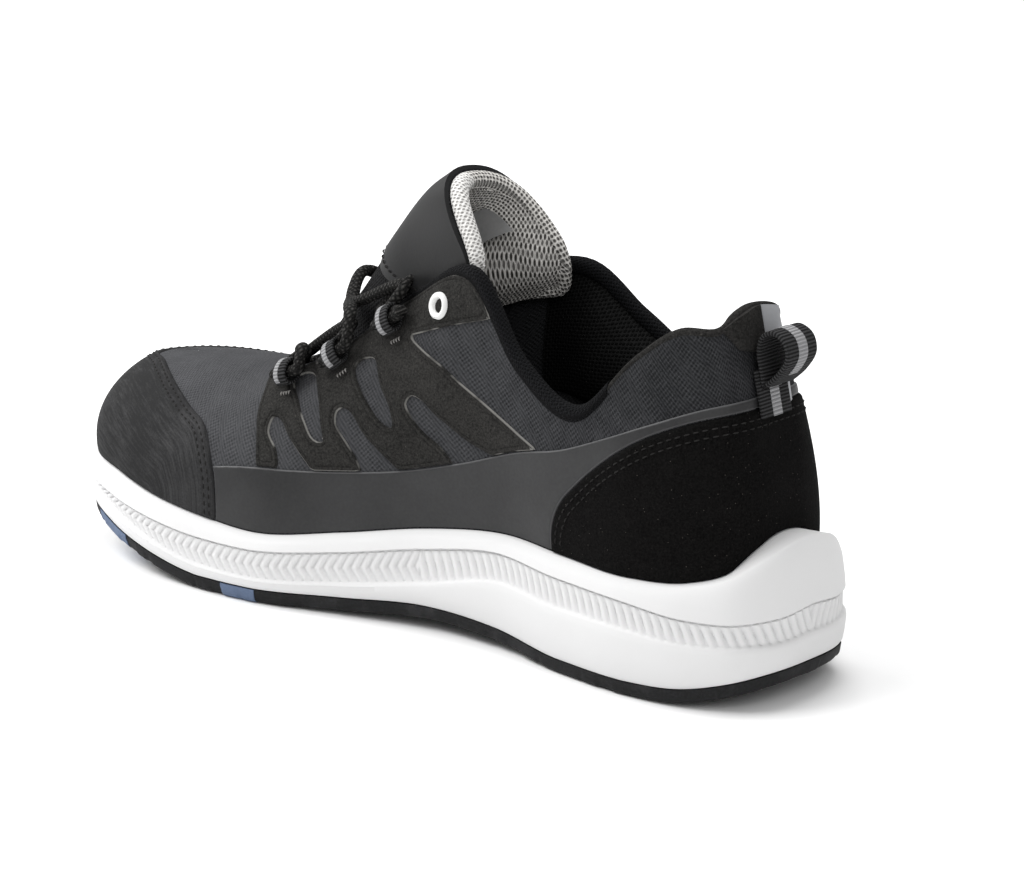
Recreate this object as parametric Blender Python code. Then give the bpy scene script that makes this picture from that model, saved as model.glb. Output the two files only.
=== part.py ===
# Low safety sneaker, one shoe, standing on its sole.
# The toe points along +X, the side seen in the photograph is +Y, and +Z is up.
# The origin is the bottom centre of the shoe's box.
# All sizes are in metres.

import math

import bmesh
import bpy
import numpy as np
from mathutils import Vector

# Driving sizes of the sole
SOLE_LENGTH = 0.300
BALL_WIDTH = 0.107
TOE_SPRING = 0.020
HEEL_STACK = 0.0390
OUTSOLE_BAND = 0.0048
LUG_DEPTH = 0.0022
LUG_GROOVE = 0.0030
GROOVE_COUNT = 17
GROOVE_LEAN = 0.36
EDGE_BEVEL = 0.0022
EDGE_RISE = 0.0012
LIP_DROP = 0.0007
LIP_ROUND = 0.0026
RIB_DEPTH = 0.0007
BAND_STEP = 0.0009
FOOT_BED = 0.0320

# Driving sizes of the upper
UPPER_WALL = 0.0020
COLLAR_HEIGHT = 0.1220
INSTEP_HEIGHT = 0.1100
TOE_HEIGHT = 0.0680
FILM_THICK = 0.0007
SUEDE_THICK = 0.0012
LINING_THICK = 0.0045
INSOLE_THICK = 0.0040
INSOLE_ROUND = 0.0012
TONGUE_THICK = 0.0060
GAP = 0.0003

# Laces and trim
LACE_RADIUS = 0.0021
LACE_LIFT = 0.0038
LACE_LEAVE = 0.0080
LACE_ARRIVE = 0.0014
LOOP_WIDTH = 0.0060
LOOP_BORE = 0.0054
WEB_THICK = 0.0010
EYELET_OUTER = 0.0045
EYELET_BORE = 0.0023
EYELET_THICK = 0.0014
PULL_WIDTH = 0.0150
PULL_THICK = 0.0016

RIB_CELLS = 4

# Sole sections from the heel's back to the toe's tip.
# at: share of the sole's length. near, far: half widths as shares of the ball width.
# lift: the outsole's underside as a share of the toe spring.
# inset: how far the upper stands inside the sole's edge, as a share of the ball width.
# feather: the sole's upper edge, bed: the recess floor, both as shares of the heel stack and foot bed.
# low, high: the ribbed band's edges as shares of the midsole's side.
# cells: mesh cells up to the next row.
SOLE_COLUMNS = ("at", "near", "far", "lift", "inset", "feather", "bed", "low", "high", "cells")
SOLE_ROWS = (
    (0.000, 0.000, 0.000, 0.36, 0.110, 1.36, 1.00, 0.25, 0.44, 2),
    (0.005, 0.150, 0.135, 0.34, 0.105, 1.29, 1.00, 0.26, 0.44, 2),
    (0.028, 0.266, 0.256, 0.24, 0.086, 1.14, 1.00, 0.35, 0.53, 2),
    (0.076, 0.332, 0.327, 0.07, 0.060, 1.03, 1.00, 0.45, 0.65, 2),
    (0.148, 0.362, 0.360, 0.00, 0.041, 0.99, 0.98, 0.53, 0.76, 2),
    (0.248, 0.338, 0.360, 0.00, 0.043, 1.00, 0.96, 0.53, 0.78, 2),
    (0.347, 0.292, 0.369, 0.12, 0.042, 1.00, 0.90, 0.52, 0.79, 2),
    (0.447, 0.300, 0.407, 0.17, 0.038, 0.89, 0.79, 0.33, 0.72, 2),
    (0.548, 0.369, 0.472, 0.07, 0.036, 0.74, 0.67, 0.26, 0.68, 2),
    (0.650, 0.453, 0.523, 0.00, 0.034, 0.63, 0.58, 0.22, 0.67, 2),
    (0.733, 0.473, 0.523, 0.00, 0.034, 0.67, 0.61, 0.23, 0.63, 2),
    (0.817, 0.466, 0.477, 0.20, 0.033, 0.75, 0.69, 0.28, 0.58, 2),
    (0.883, 0.423, 0.402, 0.40, 0.031, 0.83, 0.77, 0.34, 0.52, 2),
    (0.943, 0.348, 0.280, 0.65, 0.027, 0.88, 0.86, 0.38, 0.48, 2),
    (0.977, 0.247, 0.150, 0.85, 0.027, 0.95, 0.95, 0.40, 0.46, 1),
    (0.997, 0.115, 0.040, 0.98, 0.029, 1.01, 1.01, 0.40, 0.46, 1),
    (1.000, 0.030, -0.030, 1.00, 0.030, 1.02, 1.02, 0.40, 0.46, 0),
)

# Grooves run from GROOVE_START over GROOVE_REACH of the sole's length.
# They leave the two resting spots plain.
GROOVE_START = 0.055
GROOVE_REACH = 0.90
REST_SHARES = ((0.17, 0.22), (0.67, 0.715))

# Upper sections at the same rows: where each rib of the shell ends, on the collar,
# on the throat or on the toe's centre line, and how it gets there.
# along: share of the sole's length. near, far: share of the ball width.
# size, height, other: share of the collar, instep or toe height, on the near and the far side.
# bulge: how far the rib leans out, as a share of the ball width. rise: height of that lean.
# shoulder, drop: the rib's last handle, as shares of its reach and of its height.
EDGE_COLUMNS = ("along", "near", "far", "size", "height", "other", "bulge", "rise", "shoulder", "drop")
EDGE_ROWS = (
    (0.082, 0.000, 0.000, "collar", 1.000, 1.000, -0.010, 0.35, 0.40, 0.35),
    (0.078, 0.105, 0.085, "collar", 0.988, 0.988, -0.004, 0.35, 0.40, 0.35),
    (0.088, 0.160, 0.132, "collar", 0.955, 0.955, 0.006, 0.35, 0.45, 0.35),
    (0.122, 0.208, 0.195, "collar", 0.950, 0.950, 0.014, 0.35, 0.55, 0.35),
    (0.165, 0.257, 0.275, "collar", 0.873, 0.880, 0.019, 0.35, 0.60, 0.32),
    (0.233, 0.299, 0.336, "collar", 0.705, 0.730, 0.019, 0.35, 0.30, 0.32),
    (0.317, 0.280, 0.345, "collar", 0.795, 0.820, 0.028, 0.35, 0.20, 0.32),
    (0.396, 0.236, 0.305, "instep", 1.108, 1.050, 0.024, 0.35, 0.60, 0.30),
    (0.497, 0.160, 0.162, "instep", 0.990, 0.985, 0.018, 0.40, 0.45, 0.25),
    (0.613, 0.175, 0.165, "instep", 0.762, 0.785, 0.020, 0.44, 0.50, 0.28),
    (0.700, 0.132, 0.130, "instep", 0.652, 0.660, 0.022, 0.50, 0.50, 0.12),
    (0.740, 0.019, -0.019, "toe", 1.030, 1.030, 0.024, 0.52, 0.50, 0.00),
    (0.787, 0.028, -0.028, "toe", 1.022, 1.022, 0.026, 0.54, 0.50, 0.00),
    (0.830, 0.033, -0.033, "toe", 1.012, 1.012, 0.028, 0.54, 0.52, 0.00),
    (0.863, 0.037, -0.037, "toe", 1.000, 1.000, 0.028, 0.50, 0.54, 0.00),
    (0.885, 0.037, -0.037, "toe", 0.985, 0.985, 0.028, 0.47, 0.56, 0.00),
    (0.893, 0.037, -0.037, "toe", 0.980, 0.980, 0.028, 0.46, 0.57, 0.00),
)
RIDGE_ROW = 11
# Shares of a rib's run where the shell's facets meet.
UPPER_SHARES = (0.0, 0.18, 0.36, 0.54, 0.72, 0.90, 1.0)

# Tongue sections from its end under the vamp to its top.
# along, height: the crest, as shares of the sole's length and the instep height.
# row: the upper's row that the section's sides lie under.
# hold: share of that row's rib where they leave it.
# round: the arch's exponent, 2 for an ellipse and less for a more pointed arch.
TONGUE_COLUMNS = ("along", "height", "row", "hold", "round")
TONGUE_ROWS = (
    (0.765, 0.585, 11.5, 0.85, 1.6),
    (0.722, 0.570, 10.8, 0.90, 1.6),
    (0.692, 0.630, 10.1, 1.00, 1.6),
    (0.660, 0.815, 9.4, 1.00, 1.6),
    (0.625, 0.950, 8.8, 1.00, 1.6),
    (0.580, 1.115, 8.2, 1.00, 1.8),
    (0.530, 1.258, 7.7, 1.00, 2.2),
    (0.477, 1.345, 7.2, 1.00, 2.6),
)
TONGUE_TUCK = 0.14
TONGUE_CLEAR = 0.0016
TONGUE_SPREAD = 0.0010
TONGUE_SPRING = 0.35
TONGUE_SHIFT = -0.0035
# Share of the tongue's thickness at each point of a section, from one leg over the arch to the other.
TONGUE_TAPER = (0.4, 0.4, 0.5, 0.7, 0.9, 1.0, 1.0, 1.0, 0.9, 0.7, 0.5, 0.4, 0.4)

# Overlay outlines seen from the side: shares of the sole's length and of the collar height.
FILM_TOP = (
    (0.740, 0.335), (0.660, 0.378), (0.600, 0.395), (0.540, 0.415), (0.470, 0.450), (0.400, 0.490),
    (0.330, 0.535), (0.255, 0.590), (0.165, 0.680), (0.095, 0.752), (0.020, 0.795), (-0.050, 0.812),
)
COUNTER_FRONT = (
    (0.262, 0.200), (0.262, 0.330), (0.262, 0.375), (0.251, 0.450), (0.227, 0.512), (0.188, 0.592),
    (0.147, 0.658), (0.089, 0.722), (0.030, 0.755), (-0.050, 0.775),
)
SUEDE_FRONT = ((0.658, 0.355), (0.671, 0.440), (0.686, 0.500), (0.700, 0.550), (0.708, 0.640))
SUEDE_REAR = (
    (0.350, 0.900), (0.423, 0.847), (0.484, 0.790), (0.433, 0.738), (0.375, 0.670), (0.315, 0.604),
    (0.250, 0.545),
)
# Windows in the eyestay: open at the top between the loops, or at the film's edge.
WINDOWS = (
    ((0.659, 0.594), (0.625, 0.616), (0.600, 0.574), (0.587, 0.515), (0.581, 0.470), (0.592, 0.470),
     (0.612, 0.514), (0.633, 0.558)),
    ((0.560, 0.678), (0.533, 0.704), (0.518, 0.656), (0.497, 0.578), (0.492, 0.541), (0.503, 0.543),
     (0.524, 0.586), (0.543, 0.624)),
    ((0.660, 0.470), (0.659, 0.500), (0.647, 0.503), (0.627, 0.471), (0.605, 0.429), (0.585, 0.360),
     (0.624, 0.350), (0.642, 0.420)),
    ((0.569, 0.535), (0.570, 0.559), (0.562, 0.570), (0.551, 0.561), (0.532, 0.517), (0.507, 0.472),
     (0.470, 0.400), (0.520, 0.380), (0.541, 0.452), (0.556, 0.490)),
    ((0.478, 0.614), (0.471, 0.637), (0.457, 0.636), (0.435, 0.602), (0.395, 0.555), (0.325, 0.480),
     (0.395, 0.440), (0.430, 0.506), (0.452, 0.545), (0.468, 0.580)),
)
# Toe cap's rear edge in plan: shares of the sole's length and of the ball width.
CAP_EDGE = (
    (0.690, 0.600), (0.712, 0.440), (0.735, 0.395), (0.760, 0.350), (0.835, 0.245), (0.895, 0.140),
    (0.938, 0.035), (0.900, -0.070), (0.835, -0.200), (0.780, -0.290), (0.745, -0.370), (0.715, -0.440),
    (0.690, -0.600),
)

# Lace loops: places along the throat's edge as shares between its front and its top corner.
LOOP_STATIONS = (0.34, 0.69, 1.02)
LOOP_RIB = 0.83
# Where a lace crosses the tongue's crest before each loop, as shares of the tongue's rows.
LACE_CRESTS = (0.30, 0.36, 0.57)
# Places across the tongue that a lace is held over, as shares of its arch.
LACE_TURNS = (0.45, 0.0, -0.45)
LACE_TUCK = 1.22
# A lace's straight run and its bend beside a loop, as shares of the loop's width.
LACE_RUN = 0.7
LACE_BEND = 1.0
EYELET_PLACE = 1.36
EYELET_RIB = 0.84

# Bands along the collar: shares of each rib, and how full the band is there.
CUFF_SHARES = (0.90, 1.0)
CUFF_SWELL = (0.8, 0.6)
CUFF_THICK = 0.0020
LINING_SHARES = (0.54, 0.72, 0.90, 1.0)
LINING_SWELL = (0.40, 1.0, 1.0, 0.55)
PANEL_SHARES = (0.64, 0.72, 0.80, 0.88)

# Pull loop: its foot and top on the centre rib, and its closed line as shares of that reach.
PULL_LOW = 0.62
PULL_HIGH = 0.90
PULL_SHAPE = (
    (0.00, 0.00), (0.35, 0.00), (0.75, 0.02), (1.00, 0.16), (1.06, 0.42), (0.86, 0.68), (0.55, 0.70),
    (0.24, 0.42), (0.06, 0.12),
)

# How far the cutters reach past the shoe, as a share of its sizes.
CUT_BEYOND = 0.3

# Inserts: name, place along the sole, half length, depth inward from the near edge.
INSERTS = (("outsole_insert_toe", 0.905, 0.0075, 0.014), ("outsole_insert_ball", 0.690, 0.0070, 0.016))


# Tables and splines

def table(columns, rows):
    return {name: np.array([row[k] for row in rows]) for k, name in enumerate(columns)}


def hermite(knots, values, wanted):
    """Smooth curve through values at rising knots, read at the wanted places."""
    steps = np.diff(knots)
    slopes = np.diff(values, axis=0) / (steps if values.ndim == 1 else steps[:, None])
    inner = np.empty_like(values)
    left, right = steps[:-1], steps[1:]
    if values.ndim > 1:
        left, right = left[:, None], right[:, None]
    inner[1:-1] = (slopes[:-1] * right + slopes[1:] * left) / (left + right)
    inner[0], inner[-1] = slopes[0], slopes[-1]
    cell = np.clip(np.searchsorted(knots, wanted, side="right") - 1, 0, len(steps) - 1)
    span = steps[cell]
    t = (wanted - knots[cell]) / span
    if values.ndim > 1:
        t, span = t[:, None], span[:, None]
    a, b = values[cell], values[cell + 1]
    ma, mb = inner[cell] * span, inner[cell + 1] * span
    start = ((2 * t - 3) * t * t + 1) * a + ((t - 2) * t + 1) * t * ma
    end = (3 - 2 * t) * t * t * b + (t - 1) * t * t * mb
    return start + end


SOLE = table(SOLE_COLUMNS, SOLE_ROWS)
EDGE = table(EDGE_COLUMNS, EDGE_ROWS)
ROWS = len(SOLE_ROWS)


def both_sides(near, far):
    """One closed loop of row values: near side from heel to toe, far side back to the heel."""
    return np.concatenate([near, far[-2:0:-1]])


outline_rows = np.stack([
    both_sides(SOLE["at"], SOLE["at"]) * SOLE_LENGTH - SOLE_LENGTH / 2,
    both_sides(SOLE["near"], -SOLE["far"]) * BALL_WIDTH,
], axis=1)
row_reach = np.concatenate([[0.0], np.cumsum(np.linalg.norm(
    np.diff(np.vstack([outline_rows, outline_rows[:1]]), axis=0), axis=1))])


def station_places():
    """Places around the loop, with the rows themselves among them."""
    cells = np.concatenate([SOLE["cells"][:-1], SOLE["cells"][:-1][::-1]]).astype(int)
    places = []
    for k, count in enumerate(cells):
        places.extend(row_reach[k] + (row_reach[k + 1] - row_reach[k]) * i / count for i in range(count))
    return np.array(places)


PLACES = station_places()
STATIONS = len(PLACES)
HALF = STATIONS // 2
RIDGE_START = int(SOLE["cells"][:RIDGE_ROW].sum())


def around(loop_values, places=PLACES):
    """Values of the loop's rows, read at the stations."""
    turn = row_reach[-1]
    knots = np.concatenate([row_reach[:-1] - turn, row_reach[:-1], row_reach[:-1] + turn])
    return hermite(knots, np.concatenate([loop_values] * 3), places)


def column(name, places=PLACES):
    return around(both_sides(SOLE[name], SOLE[name]), places)


def edge_column(name):
    return around(both_sides(EDGE[name].astype(float), EDGE[name].astype(float)))


def partner(i):
    """The station across the shoe."""
    return (STATIONS - i) % STATIONS


def outline(offset, places=PLACES):
    """The sole's edge in plan, moved outward by offset."""
    at = around(outline_rows, places)
    step = 0.0005
    along = around(outline_rows, places + step) - around(outline_rows, places - step)
    normal = np.stack([-along[:, 1], along[:, 0]], axis=1)
    normal /= np.linalg.norm(normal, axis=1)[:, None]
    return at + normal * np.reshape(offset, (-1, 1)), normal


def ring(offset, height, places=PLACES):
    plan, _ = outline(np.broadcast_to(offset, places.shape), places)
    return np.column_stack([plan, np.broadcast_to(height, places.shape)])


# Mesh helpers

def new_object(name, points, faces, collection, smooth=40.0):
    mesh = bpy.data.meshes.new(name)
    mesh.from_pydata([tuple(p) for p in points], [], [tuple(f) for f in faces])
    work = bmesh.new()
    work.from_mesh(mesh)
    bmesh.ops.remove_doubles(work, verts=work.verts, dist=1e-6)
    bmesh.ops.recalc_face_normals(work, faces=work.faces)
    work.to_mesh(mesh)
    work.free()
    mesh.shade_smooth()
    mesh.set_sharp_from_angle(angle=math.radians(smooth))
    made = bpy.data.objects.new(name, mesh)
    collection.objects.link(made)
    return made


def ring_faces(a, b, count):
    return [(a + i, a + (i + 1) % count, b + (i + 1) % count, b + i) for i in range(count)]


def cap_faces(start, upward):
    """Strips across the shoe between a ring's near and far stations."""
    faces = []
    for i in range(HALF):
        quad = [start + i, start + i + 1, start + partner(i + 1), start + partner(i)]
        quad = list(dict.fromkeys(quad))
        faces.append(quad if upward else quad[::-1])
    return faces


def make_material(name, color, roughness):
    made = bpy.data.materials.new(name)
    made.use_nodes = True
    shader = made.node_tree.nodes["Principled BSDF"]
    shader.inputs["Base Color"].default_value = (*color, 1.0)
    shader.inputs["Roughness"].default_value = roughness
    made.diffuse_color = (*color, 1.0)
    return made


def boolean(target, cutter, operation):
    step = target.modifiers.new(operation.title(), "BOOLEAN")
    step.operation = operation
    step.solver = "EXACT"
    step.object = cutter
    return step


def prism(name, outline_points, low, high, axis, collection):
    """A closed prism from an outline: seen from the side (axis Y) or from above (axis Z)."""
    count = len(outline_points)
    points = []
    for level in (low, high):
        for a, b in outline_points:
            points.append((a, level, b) if axis == "Y" else (a, b, level))
    faces = [tuple(range(count)), tuple(range(2 * count - 1, count - 1, -1))]
    faces += [(i, (i + 1) % count, count + (i + 1) % count, count + i) for i in range(count)]
    made = new_object(name, points, faces, collection)
    made.hide_render = True
    made.display_type = "WIRE"
    return made


def grow(line, distance):
    """An open line moved to its left by a distance."""
    line = np.array(line, float)
    ahead = np.gradient(line, axis=0)
    ahead /= np.linalg.norm(ahead, axis=1)[:, None]
    return line + np.column_stack([-ahead[:, 1], ahead[:, 0]]) * distance


def smooth_line(points, steps=3):
    """A smooth open line through a few points."""
    points = np.array(points, float)
    reach = np.concatenate([[0.0], np.cumsum(np.linalg.norm(np.diff(points, axis=0), axis=1))])
    runs = [np.linspace(reach[k], reach[k + 1], steps, endpoint=False) for k in range(len(reach) - 1)]
    return hermite(reach, points, np.concatenate([*runs, reach[-1:]]))


def side_points(shares):
    """Side-view shares to metres."""
    return [(a * SOLE_LENGTH - SOLE_LENGTH / 2, b * COLLAR_HEIGHT) for a, b in shares]


# The sole

def sole_levels(places=PLACES):
    under = np.maximum(column("lift", places), 0.0) * TOE_SPRING
    top = column("feather", places) * HEEL_STACK
    joint = under + OUTSOLE_BAND
    return under, joint, top


def build_outsole(name, collection):
    under, joint, _ = sole_levels()
    rings = [
        ring(-EDGE_BEVEL, under),
        ring(-EDGE_BEVEL * 0.27, under + EDGE_RISE),
        ring(0.0, joint),
    ]
    points = np.vstack(rings)
    faces = ring_faces(0, STATIONS, STATIONS) + ring_faces(STATIONS, 2 * STATIONS, STATIONS)
    faces += cap_faces(0, False) + cap_faces(2 * STATIONS, True)
    return new_object(name, points, faces, collection)


def groove_cutters(collection):
    """Slanted grooves across the outsole, between its main lugs, as one joined cutter."""
    points, faces = [], []
    pitch = GROOVE_REACH / (GROOVE_COUNT - 1)
    for k in range(GROOVE_COUNT):
        at = GROOVE_START + pitch * k
        if any(start < at < end for start, end in REST_SHARES):
            continue
        x = at * SOLE_LENGTH - SOLE_LENGTH / 2
        lift = float(np.interp(at, SOLE["at"], SOLE["lift"])) * TOE_SPRING
        lean = pitch * SOLE_LENGTH * (GROOVE_LEAN if k % 2 else -GROOVE_LEAN)
        start = len(points)
        for y, shift in ((-BALL_WIDTH * 0.75, -lean), (BALL_WIDTH * 0.75, lean)):
            for dx, height in ((-0.5, -HEEL_STACK), (0.5, -HEEL_STACK), (0.5, lift + LUG_DEPTH),
                               (-0.5, lift + LUG_DEPTH)):
                points.append((x + shift + dx * LUG_GROOVE, y, height))
        faces += [tuple(start + i for i in face) for face in (
            (0, 1, 2, 3), (7, 6, 5, 4), (0, 4, 5, 1), (1, 5, 6, 2), (2, 6, 7, 3), (3, 7, 4, 0))]
    made = new_object("groove_cutter", points, faces, collection)
    made.hide_render = True
    made.display_type = "WIRE"
    return made


def insert_prism(name, at, half, depth, clear, cutters):
    """A box round an insert at the sole's near edge, larger by a clearance."""
    x = at * SOLE_LENGTH - SOLE_LENGTH / 2
    inner = float(np.interp(at, SOLE["at"], SOLE["near"])) * BALL_WIDTH - depth - clear
    half += clear
    corners = [(x - half, inner), (x + half, inner), (x + half, BALL_WIDTH), (x - half, BALL_WIDTH)]
    return prism(name, corners, -HEEL_STACK, 2 * HEEL_STACK, "Z", cutters)


def dense_places():
    ends = np.append(PLACES, row_reach[-1])
    return np.concatenate([
        np.linspace(ends[i], ends[i + 1], RIB_CELLS, endpoint=False) for i in range(STATIONS)])


def stitch_faces(coarse, dense, per, flip):
    """Joins a coarse ring to a dense one that has per points for each coarse cell."""
    faces = []
    total = STATIONS * per
    for i in range(STATIONS):
        here, after = coarse + i, coarse + (i + 1) % STATIONS
        run = [dense + (i * per + k) % total for k in range(per + 1)]
        half = per // 2
        fan = [(here, run[k + 1], run[k]) for k in range(half)]
        fan.append((here, after, run[half]))
        fan += [(after, run[k + 1], run[k]) for k in range(half, per)]
        faces += [f[::-1] for f in fan] if flip else fan
    return faces


def build_midsole(collection):
    """White foam: a swelling side with a ribbed band set back between two steps, and a recess on top."""
    _, joint, top = sole_levels()
    low, high = column("low"), column("high")
    side = top - joint
    base = joint + GAP
    inner = -column("inset") * BALL_WIDTH + GAP
    bed = column("bed") * FOOT_BED
    fine = dense_places()
    _, fine_joint, fine_top = sole_levels(fine)
    fine_low = fine_joint + column("low", fine) * (fine_top - fine_joint)
    fine_high = fine_joint + column("high", fine) * (fine_top - fine_joint)
    wave = np.where(np.arange(len(fine)) % 2 == 0, 0.0, -RIB_DEPTH)
    cell = np.roll(fine, -1)[0] - fine[0]
    coarse = [
        ring(-BAND_STEP * 0.45, base),
        ring(BAND_STEP * 0.90, base + 0.30 * low * side),
        ring(BAND_STEP * 1.45, joint + low * side - BAND_STEP),
    ]
    ribs = [
        ring(wave, fine_low, fine),
        ring(wave + RIB_DEPTH * 0.3, (fine_low + fine_high) / 2, fine + cell),
        ring(wave, fine_high, fine),
    ]
    upper_rings = [
        ring(BAND_STEP, joint + high * side + BAND_STEP),
        ring(0.0, joint + (0.45 * high + 0.55) * side),
        ring(-LIP_ROUND * 0.46, top - LIP_ROUND * 0.7),
        ring(-LIP_ROUND, top - LIP_DROP),
        ring(inner, top - LIP_DROP),
        ring(inner, bed),
    ]
    rings = coarse + ribs + upper_rings
    starts = np.concatenate([[0], np.cumsum([len(r) for r in rings])]).astype(int)
    faces = cap_faces(0, False)
    faces += ring_faces(starts[0], starts[1], STATIONS) + ring_faces(starts[1], starts[2], STATIONS)
    faces += stitch_faces(starts[2], starts[3], RIB_CELLS, False)
    dense = len(fine)
    faces += ring_faces(starts[3], starts[4], dense) + ring_faces(starts[4], starts[5], dense)
    faces += stitch_faces(starts[6], starts[5], RIB_CELLS, True)
    for k in range(6, 11):
        faces += ring_faces(starts[k], starts[k + 1], STATIONS)
    faces += cap_faces(starts[11], True)
    return new_object("midsole", np.vstack(rings), faces, collection, smooth=30.0)


def build_insole(collection):
    edge = -column("inset") * BALL_WIDTH - UPPER_WALL - GAP
    bed = column("bed") * FOOT_BED + GAP
    rings = [
        ring(edge, bed),
        ring(edge, bed + INSOLE_THICK * 0.7),
        ring(edge - INSOLE_ROUND, bed + INSOLE_THICK),
    ]
    faces = ring_faces(0, STATIONS, STATIONS) + ring_faces(STATIONS, 2 * STATIONS, STATIONS)
    faces += cap_faces(0, False) + cap_faces(2 * STATIONS, True)
    return new_object("insole", np.vstack(rings), faces, collection)


# The upper

def rib_frame():
    """Foot, ends and handles of the shell's ribs, one rib a station."""
    inset = column("inset") * BALL_WIDTH
    plan, normal = outline(-inset)
    top = column("feather") * HEEL_STACK
    foot = np.column_stack([plan, top])
    sizes = {"collar": COLLAR_HEIGHT, "instep": INSTEP_HEIGHT, "toe": TOE_HEIGHT}
    size = np.array([sizes[s] for s in EDGE["size"]])
    height, other = size * EDGE["height"].astype(float), size * EDGE["other"].astype(float)
    near, far = EDGE["near"].astype(float), EDGE["far"].astype(float)
    along = EDGE["along"].astype(float) * SOLE_LENGTH - SOLE_LENGTH / 2
    end = np.column_stack([
        around(both_sides(along, along)),
        around(both_sides(near, -far) * BALL_WIDTH),
        around(both_sides(height, other)),
    ])
    for i in range(RIDGE_START, HALF + 1):
        j = partner(i)
        end[i] = end[j] = (end[i] + end[j]) / 2
    rise = end[:, 2] - foot[:, 2]
    low = foot.copy()
    low[:, :2] += normal * (edge_column("bulge") * BALL_WIDTH)[:, None]
    low[:, 2] += edge_column("rise") * rise
    high = end.copy()
    high[:, :2] += (foot - end)[:, :2] * edge_column("shoulder")[:, None]
    high[:, 2] -= edge_column("drop") * rise
    return foot, low, high, end


def rib_points(shares):
    """Points of the upper's outer face: one row a share of the rib's run, one column a station."""
    foot, low, high, end = rib_frame()
    out = []
    for t in shares:
        u = 1 - t
        out.append(u ** 3 * foot + 3 * u * u * t * low + 3 * u * t * t * high + t ** 3 * end)
    return np.array(out)


def face_normals(grid):
    """Outward normals of a closed grid of ribs."""
    across = np.roll(grid, -1, axis=1) - np.roll(grid, 1, axis=1)
    up = np.gradient(grid, axis=0)
    normal = np.cross(up, across)
    size = np.linalg.norm(normal, axis=2)[..., None]
    normal = normal / np.maximum(size, 1e-12)
    if np.linalg.norm(grid[-1, HALF - 1] - grid[-1, HALF + 1]) > 1e-9:
        return normal
    for i in range(RIDGE_START, HALF):
        j = partner(i)
        mean = normal[-1, i] + normal[-1, j]
        normal[-1, i] = normal[-1, j] = mean / np.linalg.norm(mean)
    normal[-1, HALF] = normal[-1, HALF - 1]
    return normal


def offset_grid(distance, shares=UPPER_SHARES):
    grid = rib_points(shares)
    return grid + face_normals(grid) * distance


def shell_faces(rows, columns, closed_top):
    """Faces of a closed solid between two like grids over a run of stations."""
    width = len(columns)
    closed = width == STATIONS
    shift = rows * width
    across = width if closed else width - 1
    faces = []
    for j in range(rows - 1):
        for i in range(across):
            a, b = j * width + i, j * width + (i + 1) % width
            c, d = b + width, a + width
            faces += [(a, d, c), (a, c, b)]
            faces += [(a + shift, b + shift, c + shift), (a + shift, c + shift, d + shift)]
    for i in range(across):
        a, b = i, (i + 1) % width
        faces.append((a, b, b + shift, a + shift))
        if closed_top and RIDGE_START <= columns[i] < STATIONS - RIDGE_START:
            continue
        a, b = a + (rows - 1) * width, b + (rows - 1) * width
        faces.append((b, a, a + shift, b + shift))
    if not closed:
        for j in range(rows - 1):
            a, b = j * width, (j + 1) * width
            faces.append((a, a + shift, b + shift, b))
            a, b = a + width - 1, b + width - 1
            faces.append((b, b + shift, a + shift, a))
    return faces


def grid_shell(name, inner, outer, collection, first=0, last=STATIONS - 1, closed_top=True):
    """A closed solid between two like grids, from one station to another."""
    columns = [i % STATIONS for i in range(first, last + 1)]
    points = np.vstack([inner[:, columns].reshape(-1, 3), outer[:, columns].reshape(-1, 3)])
    return new_object(name, points, shell_faces(len(inner), columns, closed_top), collection)


def build_upper(collection):
    """The hollow shell: a skirt down to the foot bed, then the ribs up to collar, throat and toe ridge."""
    outer = rib_points(UPPER_SHARES)
    inner = outer - face_normals(outer) * UPPER_WALL
    skirt_out = outer[0].copy()
    skirt_out[:, 2] = column("bed") * FOOT_BED + GAP
    plan, _ = outline(-column("inset") * BALL_WIDTH - UPPER_WALL)
    skirt_in = np.column_stack([plan, skirt_out[:, 2]])
    inner[0, :, :2] = plan
    inner[0, :, 2] = outer[0, :, 2]
    outer = np.concatenate([skirt_out[None], outer])
    inner = np.concatenate([skirt_in[None], inner])
    return grid_shell("upper", inner, outer, collection)


def build_overlay(name, thick, collection, first, last):
    """An overlay between two larger forms of the upper, before its outline is cut."""
    return grid_shell(name, offset_grid(GAP), offset_grid(GAP + thick), collection, first, last)


def cut_by(target, cuts, cutters):
    """Cuts a solid by several cutters at once."""
    group = bpy.data.collections.new(target.name + "_cuts")
    cutters.children.link(group)
    for cut in cuts:
        group.objects.link(cut)
    step = target.modifiers.new("Outline", "BOOLEAN")
    step.operation = "DIFFERENCE"
    step.solver = "EXACT"
    step.operand_type = "COLLECTION"
    step.collection = group


def row_station(row):
    return int(SOLE["cells"][:row].sum())


def build_band(name, shares, low, high, collection, first, last, beyond=0.0):
    """A padded band along the collar: its two faces stand off by one distance a row."""
    whole = rib_points(UPPER_SHARES)
    place = np.interp(shares, UPPER_SHARES, np.arange(len(UPPER_SHARES)))
    low_row = np.minimum(place.astype(int), len(UPPER_SHARES) - 2)
    part = (place - low_row)[:, None, None]
    grid = whole[low_row] * (1 - part) + whole[low_row + 1] * part
    normal = face_normals(whole)
    normal = normal[low_row] * (1 - part) + normal[low_row + 1] * part
    grid[-1] += (grid[-1] - grid[-2]) * beyond
    inner = grid + normal * np.reshape(low, (-1, 1, 1))
    outer = grid + normal * np.reshape(high, (-1, 1, 1))
    return grid_shell(name, inner, outer, collection, first, last, closed_top=False)


# Trim

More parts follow.
